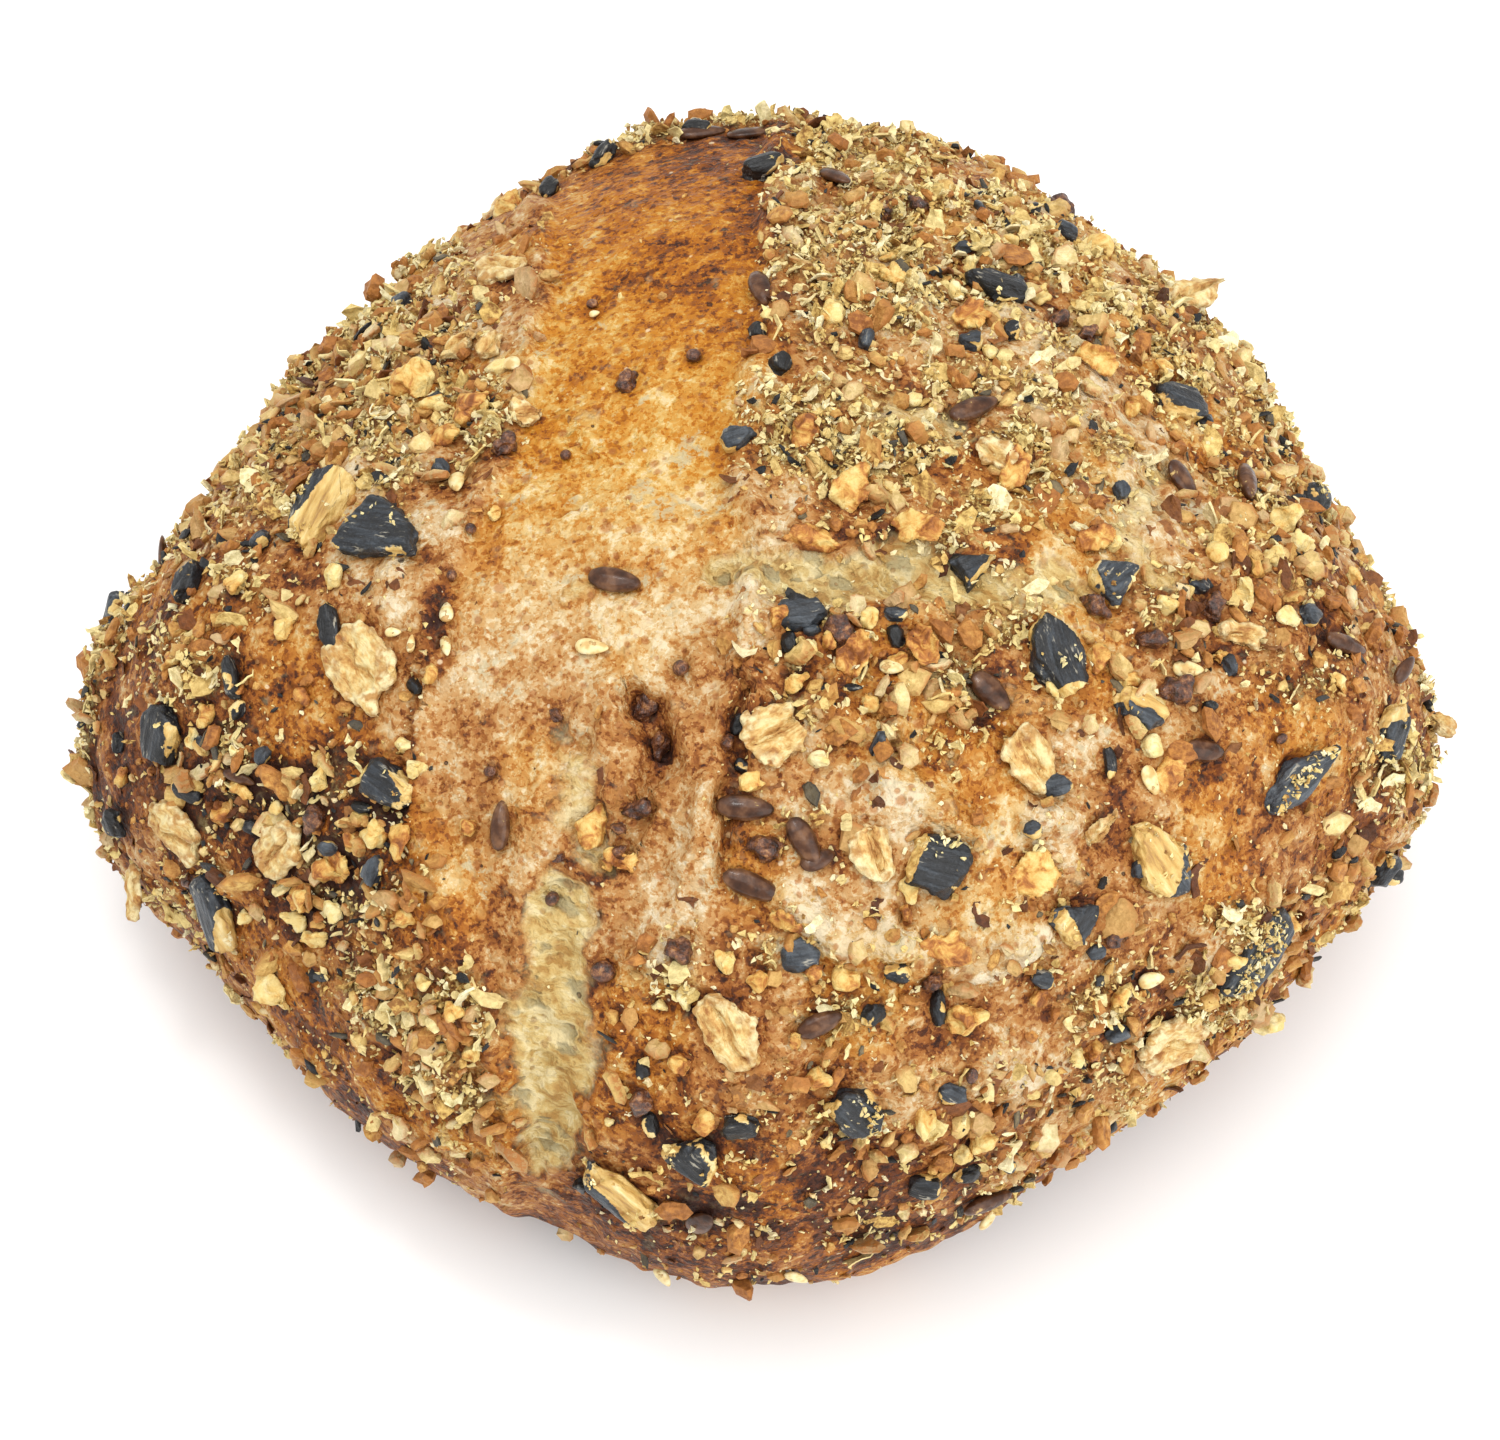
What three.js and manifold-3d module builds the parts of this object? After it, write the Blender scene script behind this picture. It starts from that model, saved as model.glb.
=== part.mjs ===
// A seeded bread roll: a domed loaf with a tip at each side and a flat base, baked as one piece,
// with the larger seeds, flakes and grains of its topping seated in pockets in the crust.
// Millimetres, +Z up, +X towards the right-hand tip, +Y towards the back.
// The origin is the middle of the base.
import * as THREE from "three";
import { mergeVertices } from "three/addons/utils/BufferGeometryUtils.js";
import Module from "manifold-3d";

// Driving dimensions of the loaf
const crownHeight = 58; // top of the dome above the base
const waistHeight = 21; // where the loaf is widest
const domeFullness = 2.25; // 2 is an ellipse, more is flatter on top
const baseShare = 0.7; // the flat base's radius as a share of the outline's
const loafSides = 72;
const domeSteps = 16;
const tuckSteps = 6;
// From the crown's axis to the outline, every 22.5 degrees from the right-hand tip round by the back
const outlineRadii = [57.5, 55, 58, 61, 62, 57, 53, 52.5, 57, 48.5, 46, 44.5, 46, 44.5, 45, 49.5];

// The bare band where the dough opened: a shallow dip from the back of the dome to the front
const burstMiddle = -13;
const burstSlant = 0.1; // how far the band leans to the right for each millimetre back
const burstHalfWidth = 8.5;
const burstDepth = 0.8;

// The topping is laid out on a slope in front of the dome, and each piece is pressed home along the line from
// a far point through its place. u runs to the right and v up the slope, from layoutCentre.
const layoutAngle = THREE.MathUtils.degToRad(60);
const layoutDistance = 435;
const layoutCentre = new THREE.Vector3(0, 5, 20);
const layoutRight = new THREE.Vector3(1, 0, 0);
const layoutUp = new THREE.Vector3(0, Math.sin(layoutAngle), Math.cos(layoutAngle));
const layoutOut = new THREE.Vector3(0, -Math.cos(layoutAngle), Math.sin(layoutAngle));
const layoutEye = layoutCentre.clone().addScaledVector(layoutOut, layoutDistance);
const steepestSeat = 0.35; // below this cosine to the line, a piece isn't stretched further

const pocketGap = 0.45; // clearance on each side between a piece and its pocket

// Outlines of the broken seeds, in a box one unit each way
const outlines = {
  wedge: [[-0.5, -0.42], [0.5, -0.38], [0.46, -0.1], [0.02, 0.5], [-0.2, 0.46]],
  block: [[-0.5, 0.3], [-0.3, 0.5], [0.4, 0.42], [0.5, -0.2], [0.2, -0.5], [-0.42, -0.36]],
  sliver: [[-0.5, -0.1], [-0.2, 0.45], [0.3, 0.5], [0.5, 0.1], [0.25, -0.4], [-0.3, -0.5]],
  kernel: [[-0.5, 0], [-0.36, 0.36], [0, 0.5], [0.32, 0.36], [0.5, 0], [0.32, -0.36], [0, -0.5], [-0.36, -0.36]],
};

// Each row: u, v, length, width, turn of the long axis in degrees, and then the outline and the lean, which
// lifts the far end out of the crust
const pumpkinSeeds = [
  [-31.9, 16.1, 8.3, 6.5, 0, "wedge", 0],
  [-36.7, 18.3, 10, 5.6, 60, "kernel", 4],
  [-51.3, -1.3, 5.4, 4.2, 85, "block", 0],
  [-48.6, 11.7, 5, 2.4, 65, "sliver", 6],
  [-46.1, -17, 9, 4, -70, "kernel", 0],
  [21.3, 37.1, 5.8, 2.4, -32, "sliver", 8],
  [37.4, 27.8, 4.8, 4, -20, "block", 6],
  [31.2, 12.2, 4.2, 4, 60, "wedge", 4],
  [26.3, 4.8, 8.2, 4.8, -75, "kernel", 0],
  [33.7, 1, 5.2, 3.2, -20, "block", 0],
  [46.7, -5.2, 11, 3.6, 42, "kernel", 5],
  [55, -1, 6, 3.4, 75, "sliver", 8],
  [43.2, -19.6, 10, 6.2, 60, "kernel", 4],
  [16, -12.6, 5.8, 5.2, -10, "block", 0],
  [9, -33.7, 6, 3.8, -60, "sliver", 0],
  [-4.2, -37.6, 5.4, 3.8, -35, "wedge", 0],
  [-10.6, -41.3, 9.6, 3.8, -42, "sliver", 0],
  [1.3, 47.6, 4, 2.8, 10, "block", 10],
  [18.9, 13.3, 4, 3.4, 50, "wedge", 0],
  [34.8, -11.9, 8, 5.6, -50, "kernel", 0],
  [-31.3, -5.7, 5.2, 3.6, -25, "block", 0],
  [49.7, 19.4, 4, 2.6, -30, "sliver", 10],
  [54.8, -12.6, 5, 2.4, 75, "sliver", 12],
  [27.4, -17.4, 4.5, 4, 60, "wedge", 0],
  [4.6, 8.7, 4.4, 3, 15, "block", 4],
];

const flaxSeeds = [
  [-11.7, 11.9, 4.6, 2.6, -10],
  [19.2, 26.4, 5, 2.4, 20],
  [0.2, -14.4, 5.2, 2.5, -22],
  [42.9, 20.4, 4.6, 2.2, -80],
  [38.9, -2.6, 3.9, 2.4, -8],
  [20.6, 2.2, 4.2, 2.8, -45],
  [5.9, -26.1, 4, 2.4, 25],
  [51, 6.4, 5, 2, -22],
  [-21.6, -9.2, 4.2, 2, 85],
  [1, 36.7, 4.2, 2.4, -70],
  [-0.4, -7.7, 4.8, 2.6, -5],
  [4.6, -10.6, 4.4, 2.6, -60],
  [20.4, -41.5, 5, 2.2, 20],
];

const oatFlakes = [
  [-21.3, 39, 6.2, 3.6, -8, 0],
  [-33.7, 4.7, 7.4, 6.2, -50, 6],
  [-49.7, -9.6, 7.4, 4.4, -35, 4],
  [2, -1.4, 5.8, 5, 30, 0],
  [-41.1, -11.3, 6, 4.2, 50, 4],
  [24.1, -3.6, 6.2, 4.2, -60, 0],
  [36.1, -27.6, 7, 5.4, 20, 6],
  [-1.9, -27, 7.6, 4.4, -60, 0],
  [10.5, -11.4, 5.2, 3.5, -70, 0],
  [38.8, 37.4, 7.5, 3.4, 5, 28],
];

const grainChunks = [
  [-28.4, 29, 5, 4, 20],
  [-23.6, 26.9, 4.3, 3, 70],
  [46.3, 17.1, 4.2, 3.4, 0],
  [-41.3, -23.5, 4.2, 4.2, 0],
  [18.4, -26.2, 3.8, 3.2, 30],
  [44.9, -25.8, 3.6, 3, 0],
];

const seedThickness = 2;
const flaxThickness = 1.5;
const flaxTaper = 0.3; // how much a flax seed narrows towards its point
const flakeThickness = 1.1;
const flakeCurl = 0.35; // how far a flake's ends rise
const chunkHeight = 3;
const chunkRoughness = 0.09;
const seedBevel = 0.45;
const flakeBevel = 0.3;

const finishes = {
  crust: { color: 0xc98a42, roughness: 0.75 },
  pumpkin: { color: 0x33383d, roughness: 0.5 },
  flax: { color: 0x5a3a2c, roughness: 0.3 },
  oat: { color: 0xd8b67c, roughness: 0.85 },
  grain: { color: 0xe2b463, roughness: 0.7 },
};

const wasm = await Module();
wasm.setup();

function solidOf(geometry) {
  const bare = geometry.clone();
  bare.deleteAttribute("normal");
  bare.deleteAttribute("uv");
  const merged = mergeVertices(bare, 1e-4);
  return new wasm.Manifold(
    new wasm.Mesh({
      numProp: 3,
      vertProperties: new Float32Array(merged.attributes.position.array),
      triVerts: new Uint32Array(merged.index.array),
    }),
  );
}

function geometryOf(solid) {
  const mesh = solid.getMesh();
  const geometry = new THREE.BufferGeometry();
  geometry.setAttribute("position", new THREE.BufferAttribute(new Float32Array(mesh.vertProperties), 3));
  geometry.setIndex(new THREE.BufferAttribute(new Uint32Array(mesh.triVerts), 1));
  geometry.computeVertexNormals();
  return geometry;
}

function moveVertices(geometry, move) {
  const place = geometry.attributes.position;
  const point = new THREE.Vector3();
  for (let i = 0; i < place.count; i++) {
    point.fromBufferAttribute(place, i);
    move(point);
    place.setXYZ(i, point.x, point.y, point.z);
  }
  return geometry;
}

// A closed Catmull-Rom curve through outlineRadii
function outlineRadius(angle) {
  const count = outlineRadii.length;
  const step = THREE.MathUtils.euclideanModulo(angle / (2 * Math.PI), 1) * count;
  const i = Math.floor(step) % count;
  const f = step - Math.floor(step);
  const [a, b, c, d] = [-1, 0, 1, 2].map((k) => outlineRadii[(i + k + count) % count]);
  return b + 0.5 * f * (c - a + f * (2 * a - 5 * b + 4 * c - d + f * (3 * (b - c) + d - a)));
}

// The loaf's section, from the middle of the base out, up and over to the crown.
// x is a share of the outline's radius, and y is the height.
function loafProfile() {
  const points = [new THREE.Vector2(0, 0)];
  for (let i = 0; i < tuckSteps; i++) {
    const climb = (Math.PI / 2) * (i / tuckSteps);
    const share = baseShare + (1 - baseShare) * Math.sin(climb);
    points.push(new THREE.Vector2(share, waistHeight * (1 - Math.cos(climb))));
  }
  for (let i = 0; i < domeSteps; i++) {
    const climb = (Math.PI / 2) * (i / domeSteps);
    const height = waistHeight + (crownHeight - waistHeight) * Math.sin(climb);
    points.push(new THREE.Vector2(Math.cos(climb) ** (2 / domeFullness), height));
  }
  points.push(new THREE.Vector2(0, crownHeight));
  return points;
}

function burstDip(point) {
  const across = (point.x - burstMiddle - burstSlant * point.y) / burstHalfWidth;
  const height = THREE.MathUtils.smoothstep(point.z, waistHeight, crownHeight - 12);
  return burstDepth * height * Math.exp(-(across ** 4));
}

function loafGeometry() {
  const loaf = new THREE.LatheGeometry(loafProfile(), loafSides);
  loaf.rotateX(Math.PI / 2);
  return moveVertices(loaf, (point) => {
    const radius = outlineRadius(Math.atan2(point.y, point.x));
    point.x *= radius;
    point.y *= radius;
    point.z -= burstDip(point);
  });
}

// A broken seed: its outline with a rounded edge, lying flat
function brokenSeed(outline, length, width, thickness) {
  const shape = new THREE.Shape(outlines[outline].map(([x, y]) => new THREE.Vector2(x * length, y * width)));
  const seed = new THREE.ExtrudeGeometry(shape, {
    depth: thickness - 2 * seedBevel,
    bevelThickness: seedBevel,
    bevelSize: seedBevel,
    bevelOffset: -seedBevel,
    bevelSegments: 1,
  });
  return seed.translate(0, 0, seedBevel - thickness / 2);
}

function flaxSeed(length, width, thickness) {
  const seed = new THREE.SphereGeometry(0.5, 8, 6);
  seed.rotateZ(Math.PI / 2);
  return moveVertices(seed, (point) => {
    const narrowing = 1 - flaxTaper * (point.x + 0.5);
    point.set(point.x * length, point.y * width * narrowing, point.z * thickness);
  });
}

// A rolled flake: a rounded outline with a nick at one end, curled up a little at both
function oatFlake(length, width, thickness) {
  const outline = [];
  for (let i = 0; i < 12; i++) {
    const angle = (i / 12) * 2 * Math.PI;
    const reach = 0.5 * (i === 0 ? 0.84 : 1 + 0.05 * Math.cos(3 * angle));
    outline.push(new THREE.Vector2(reach * Math.cos(angle) * length, reach * Math.sin(angle) * width));
  }
  const flake = new THREE.ExtrudeGeometry(new THREE.Shape(outline), {
    depth: thickness - 2 * flakeBevel,
    bevelThickness: flakeBevel,
    bevelSize: flakeBevel,
    bevelOffset: -flakeBevel,
    bevelSegments: 1,
  });
  flake.translate(0, 0, flakeBevel - thickness / 2);
  return moveVertices(flake, (point) => {
    point.z += flakeCurl * ((2 * point.x) / length) ** 2;
  });
}

function grainChunk(length, width, thickness) {
  const chunk = new THREE.IcosahedronGeometry(0.5, 1);
  return moveVertices(chunk, (point) => {
    const bump = 1 + chunkRoughness * Math.sin(9 * point.x + 5 * point.y) * Math.cos(8 * point.z - 3 * point.x);
    point.set(point.x * length * bump, point.y * width * bump, point.z * thickness * bump);
  });
}

// Where a piece meets the crust, and the way it lies there
function findSeat(loaf, u, v, turn, lean) {
  const raycaster = new THREE.Raycaster();
  let hit;
  for (let share = 1; !hit; share -= 0.01) {
    const target = layoutCentre.clone();
    target.addScaledVector(layoutRight, u * share);
    target.addScaledVector(layoutUp, v * share);
    raycaster.set(layoutEye, target.sub(layoutEye).normalize());
    hit = raycaster.intersectObject(loaf)[0];
  }
  const line = raycaster.ray.direction;
  const out = hit.face.normal.clone();
  const facing = Math.min(line.dot(out), -steepestSeat);
  const angle = THREE.MathUtils.degToRad(turn);
  const along = layoutRight.clone().multiplyScalar(Math.cos(angle));
  along.addScaledVector(layoutUp, Math.sin(angle));
  along.addScaledVector(line, -along.dot(out) / facing);
  along.addScaledVector(out, -along.dot(out)).normalize();
  const across = new THREE.Vector3().crossVectors(out, along);
  const tilt = new THREE.Quaternion().setFromAxisAngle(across, -THREE.MathUtils.degToRad(lean));
  const basis = new THREE.Matrix4().makeBasis(along, across, out);
  const turned = new THREE.Quaternion().setFromRotationMatrix(basis).premultiply(tilt);
  return { point: hit.point, out, turned };
}

const loaf = new THREE.Mesh(loafGeometry(), new THREE.MeshBasicMaterial());
const topping = new THREE.Group();
let crumb = solidOf(loaf.geometry);

// Seats one piece in the crust and cuts its pocket. raise is how far its middle stands above the surface.
function seatPiece(name, finish, build, size, [u, v, , , turn], lean, raise) {
  const [length, width, thickness] = size;
  const seat = findSeat(loaf, u, v, turn, lean);
  const mesh = new THREE.Mesh(build(length, width, thickness), new THREE.MeshStandardMaterial(finishes[finish]));
  mesh.name = name;
  mesh.position.copy(seat.point).addScaledVector(seat.out, raise);
  mesh.quaternion.copy(seat.turned);
  mesh.updateMatrix();
  topping.add(mesh);
  const spare = 2 * pocketGap;
  const pocket = build(length + spare, width + spare, thickness + spare);
  pocket.applyMatrix4(mesh.matrix);
  crumb = crumb.subtract(solidOf(pocket));
}

const numbered = (name, index) => `${name}_${String(index + 1).padStart(2, "0")}`;

pumpkinSeeds.forEach((row, index) => {
  const [, , length, width, , outline, lean] = row;
  const build = (...size) => brokenSeed(outline, ...size);
  seatPiece(numbered("pumpkin_seed", index), "pumpkin", build, [length, width, seedThickness], row, lean, 0.25);
});
flaxSeeds.forEach((row, index) => {
  const size = [row[2], row[3], flaxThickness];
  seatPiece(numbered("flax_seed", index), "flax", flaxSeed, size, row, 0, 0.3);
});
oatFlakes.forEach((row, index) => {
  const size = [row[2], row[3], flakeThickness];
  seatPiece(numbered("oat_flake", index), "oat", oatFlake, size, row, row[5], 0.2);
});
grainChunks.forEach((row, index) => {
  const size = [row[2], row[3], chunkHeight];
  seatPiece(numbered("grain_chunk", index), "grain", grainChunk, size, row, 0, 0.5);
});

const roll = new THREE.Mesh(geometryOf(crumb), new THREE.MeshStandardMaterial(finishes.crust));
roll.name = "roll";

const seededRoll = new THREE.Group();
seededRoll.add(roll, topping);

// The middle of the base becomes the origin
const extent = new THREE.Box3().setFromObject(seededRoll, true);
const middle = extent.getCenter(new THREE.Vector3());
seededRoll.position.set(-middle.x, -middle.y, -extent.min.z);
seededRoll.updateMatrixWorld(true);

export default seededRoll;
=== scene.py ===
import math

import bmesh
import bpy
import numpy as np
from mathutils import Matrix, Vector, kdtree
from mathutils.bvhtree import BVHTree


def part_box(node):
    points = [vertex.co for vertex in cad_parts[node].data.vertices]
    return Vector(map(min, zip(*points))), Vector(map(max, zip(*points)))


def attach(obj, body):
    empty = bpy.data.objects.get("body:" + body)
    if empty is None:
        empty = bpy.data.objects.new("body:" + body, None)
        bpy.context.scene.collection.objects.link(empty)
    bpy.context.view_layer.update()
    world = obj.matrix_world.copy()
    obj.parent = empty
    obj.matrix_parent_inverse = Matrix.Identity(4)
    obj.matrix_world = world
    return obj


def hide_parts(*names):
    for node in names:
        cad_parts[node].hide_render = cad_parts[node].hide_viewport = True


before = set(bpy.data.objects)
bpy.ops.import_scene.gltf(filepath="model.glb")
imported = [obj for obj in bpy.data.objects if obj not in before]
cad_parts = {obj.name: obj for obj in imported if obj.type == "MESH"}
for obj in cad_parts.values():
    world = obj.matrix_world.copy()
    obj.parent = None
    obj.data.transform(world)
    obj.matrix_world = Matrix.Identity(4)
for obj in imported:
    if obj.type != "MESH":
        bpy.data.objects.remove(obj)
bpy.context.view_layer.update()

# A seeded bread roll. Shapes are worked out in millimetres round the axis of the crown, +Z up, and moved to
# the frame in metres when a mesh is made.
mm = 0.001

loaf = {
    "crownHeight": 58.0,
    "waistHeight": 21.0,
    "domeFullness": 2.25,   # 2 is an ellipse, more is flatter on top
    "baseShare": 0.7,   # flat base as a share of the outline
    # from the crown's axis to the outline, every 22.5 degrees from the right-hand tip round by the back
    "outlineRadii": (57.5, 55, 58, 61, 62, 57, 53, 52.5, 57, 48.5, 46, 44.5, 46, 44.5, 45, 49.5),
    "domeCells": 268,   # cells across the grid that covers the dome
    "tuckRows": 15,
    "baseRings": 5,
}
rollLow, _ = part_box("roll")
leftReach, frontReach = loaf["outlineRadii"][8], loaf["outlineRadii"][12]
axisPlace = np.array([rollLow.x / mm + leftReach, rollLow.y / mm + frontReach, 0.0])

# The topping and the marks on the crust are placed on a slope in front of the dome, u to the right and v up
# the slope in millimetres, and carried home along lines that meet at a far point.
layout = {"angle": math.radians(60), "distance": 435.0, "centre": (0.0, 5.0, 20.0)}
layoutRight = np.array([1.0, 0.0, 0.0])
layoutUp = np.array([0.0, math.sin(layout["angle"]), math.cos(layout["angle"])])
layoutOut = np.array([0.0, -math.cos(layout["angle"]), math.sin(layout["angle"])])
layoutCentre = np.array(layout["centre"])
layoutEye = layoutCentre + layoutOut * layout["distance"]


# ---- small tools
def smoothStep(low, high, value):
    share = np.clip((value - low) / (high - low), 0, 1)
    return share * share * (3 - 2 * share)


def bell(value, width):
    return np.exp(-(value / width) ** 2)


def softNoise(points, size, seed, cells=32):   # repeats after that many cells
    lattice = np.random.default_rng(seed).uniform(-1, 1, (cells, cells, cells))
    scaled = points / size
    cell = np.floor(scaled).astype(int)
    part = scaled - cell
    part = part * part * (3 - 2 * part)
    total = np.zeros(len(points))
    for corner in np.ndindex(2, 2, 2):
        weight = np.prod(np.where(np.array(corner) == 1, part, 1 - part), axis=1)
        index = (cell + corner) % cells
        total += weight * lattice[index[:, 0], index[:, 1], index[:, 2]]
    return total


def layeredNoise(points, size, seed, layers=3):
    return sum(softNoise(points, size / 2 ** i, seed + i) / 2 ** i for i in range(layers))


def ridgedNoise(points, size, seed):   # 1 along thin winding lines
    return 1 - 2.2 * np.abs(softNoise(points, size, seed))


def layoutOf(points):
    away = points - layoutEye
    reach = layout["distance"] / -(away @ layoutOut)
    return (away @ layoutRight) * reach, (away @ layoutUp) * reach


def spotSum(u, v, spots):   # rows of u, v, radius, strength
    total = np.zeros(len(u))
    for spotU, spotV, radius, strength in spots:
        total = np.maximum(total, strength * np.exp(-((u - spotU) ** 2 + (v - spotV) ** 2) / radius ** 2))
    return total


def routeDistance(u, v, route):   # distance to a chain of points, and how far along it, 0 to 1
    best = np.full(len(u), 1e9)
    along = np.zeros(len(u))
    for i, (start, end) in enumerate(zip(route, route[1:])):
        step = np.subtract(end, start)
        share = np.clip(((u - start[0]) * step[0] + (v - start[1]) * step[1]) / (step @ step), 0, 1)
        gap = np.hypot(u - start[0] - share * step[0], v - start[1] - share * step[1])
        along = np.where(gap < best, (i + share) / (len(route) - 1), along)
        best = np.minimum(best, gap)
    return best, along


def unit(vector):
    return vector / np.linalg.norm(vector)


def nearestTree(points):
    tree = kdtree.KDTree(len(points))
    for i, point in enumerate(points):
        tree.insert(point, i)
    tree.balance()
    return tree


# ---- objects and meshes
def newObject(name, data):
    piece = bpy.data.objects.new(name, data)
    bpy.context.scene.collection.objects.link(piece)
    return piece


def meshObject(name, points, faces):   # points in millimetres round the crown's axis
    mesh = bpy.data.meshes.new(name)
    mesh.from_pydata(((points + axisPlace) * mm).tolist(), [], faces)
    mesh.update()
    return newObject(name, mesh)


def evaluatedPiece(name, holder):   # the plain mesh that a holder's modifiers make, and then no holder
    mesh = bpy.data.meshes.new_from_object(holder.evaluated_get(bpy.context.evaluated_depsgraph_get()))
    bpy.data.objects.remove(holder)
    mesh.name = name
    return newObject(name, mesh)


def editMesh(mesh, edit):
    shell = bmesh.new()
    shell.from_mesh(mesh)
    edit(shell)
    shell.to_mesh(mesh)
    shell.free()


def faceOutwards(mesh):
    editMesh(mesh, lambda shell: bmesh.ops.recalc_face_normals(shell, faces=shell.faces))


def smoothFaces(mesh):
    mesh.polygons.foreach_set("use_smooth", np.ones(len(mesh.polygons), bool))


def joined(name, pieces):
    with bpy.context.temp_override(object=pieces[0], active_object=pieces[0], selected_objects=pieces,
                                   selected_editable_objects=pieces):
        bpy.ops.object.join()
    pieces[0].name = name
    pieces[0].data.name = name
    return pieces[0]


def pointsOf(mesh):
    flat = np.zeros(len(mesh.vertices) * 3, np.float32)
    mesh.vertices.foreach_get("co", flat)
    return flat.reshape(-1, 3).astype(float) / mm - axisPlace


def setPoints(mesh, points):
    mesh.vertices.foreach_set("co", ((points + axisPlace) * mm).astype(np.float32).ravel())
    mesh.update()


def normalsOf(mesh):
    flat = np.zeros(len(mesh.vertices) * 3, np.float32)
    mesh.vertex_normals.foreach_get("vector", flat)
    return flat.reshape(-1, 3).astype(float)


def attributeOf(mesh, name):
    values = np.zeros(len(mesh.vertices), np.float32)
    mesh.attributes[name].data.foreach_get("value", values)
    return values


def setAttributes(mesh, named):
    for name, values in named.items():
        kind, key = ("FLOAT_VECTOR", "vector") if np.ndim(values) == 2 else ("FLOAT", "value")
        attribute = mesh.attributes.get(name) or mesh.attributes.new(name, kind, "POINT")
        attribute.data.foreach_set(key, np.asarray(values, np.float32).ravel())


# ---- node helpers
class NodeBuilder:   # adds nodes to a tree and links what it is given
    def __init__(self, tree):
        self.tree = tree

    def add(self, kind, inputs=None, **settings):
        node = self.tree.nodes.new(kind)
        for key, value in settings.items():
            setattr(node, key, value)
        self.give(node, inputs or {})
        return node

    def give(self, node, inputs):
        for key, value in inputs.items():
            socket = node.inputs[key]
            if isinstance(value, bpy.types.NodeSocket):
                self.tree.links.new(value, socket)
            else:
                socket.default_value = value

    def math(self, operation, *values):
        return self.add("ShaderNodeMath", dict(enumerate(values)), operation=operation).outputs[0]

    def plus(self, a, b):
        return self.math("ADD", a, b)

    def minus(self, a, b):
        return self.math("SUBTRACT", a, b)

    def times(self, a, b):
        return self.math("MULTIPLY", a, b)

    def centred(self, value, share):   # a noise of 0 to 1 made to swing both ways
        return self.times(self.minus(value, 0.5), share)

    def total(self, start, parts):   # rows of value and share
        for value, share in parts:
            start = self.plus(start, self.times(value, share))
        return start

    def vector(self, operation, a, b):
        return self.add("ShaderNodeVectorMath", {0: a, 1: b}, operation=operation).outputs[0]

    def scaled(self, vector, scale):
        return self.add("ShaderNodeVectorMath", {0: vector, "Scale": scale}, operation="SCALE").outputs[0]

    def span(self, value, low, high, toLow=0.0, toHigh=1.0):
        inputs = {"Value": value, "From Min": low, "From Max": high, "To Min": toLow, "To Max": toHigh}
        return self.add("ShaderNodeMapRange", inputs, interpolation_type="SMOOTHSTEP").outputs["Result"]

    def blend(self, share, a, b):
        return self.add("ShaderNodeMix", {0: share, 6: a, 7: b}, data_type="RGBA").outputs[2]

    def painted(self, colour, layers):   # rows of mask, share and colour
        for mask, share, paint in layers:
            colour = self.blend(self.times(mask, share), colour, paint)
        return colour

    def attribute(self, name, output="Fac"):
        return self.add("ShaderNodeAttribute", attribute_name=name).outputs[output]

    def noise(self, place, size, detail=2.0, rough=0.5, output="Fac", distortion=0.0):   # size in millimetres
        inputs = {"Vector": place, "Scale": 1 / (size * mm), "Detail": detail, "Roughness": rough,
                  "Distortion": distortion}
        return self.add("ShaderNodeTexNoise", inputs).outputs[output]

    def ramp(self, value, stops):   # stops are rows of place and colour
        node = self.add("ShaderNodeValToRGB", {0: value})
        elements = node.color_ramp.elements
        while len(elements) < len(stops):
            elements.new(0.5)
        for element, (place, colour) in zip(elements, stops):
            element.position = place
            element.color = (*colour, 1)
        return node.outputs["Color"]


def newMaterial(name):
    material = bpy.data.materials.new(name)
    material.use_nodes = True
    nodes = NodeBuilder(material.node_tree)
    shader = material.node_tree.nodes["Principled BSDF"]
    place = nodes.add("ShaderNodeTexCoord").outputs["Object"]
    return material, nodes, shader, place


def relief(nodes, shader, height, distance):   # distance in millimetres
    bump = nodes.add("ShaderNodeBump", {"Height": height, "Distance": distance * mm, "Strength": 1.0})
    nodes.give(shader, {"Normal": bump.outputs["Normal"]})


# ---- camera, floor and light
stage = {
    "lens": 120,   # millimetres, as is the sensor
    "sensor": 36,
    "clip": (0.02, 20),   # metres
    "floorEdge": 6,
    "floorTone": 0.96,
    "floorRoughness": 0.9,
    "roomLight": 0.9,
    "aim": (0, 0, 0.02),
    "lamps": {   # watts, edge in metres, colour, place
        "key": (5.2, 0.9, (1.0, 0.985, 0.96), (-0.06, 0.0, 0.92)),
        "glint": (0.8, 0.12, (1.0, 0.99, 0.97), (-0.16, 0.1, 0.85)),
        "fill": (4.9, 0.9, (1.0, 0.99, 0.97), (0.6, -0.55, 0.45)),
    },
}


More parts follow.
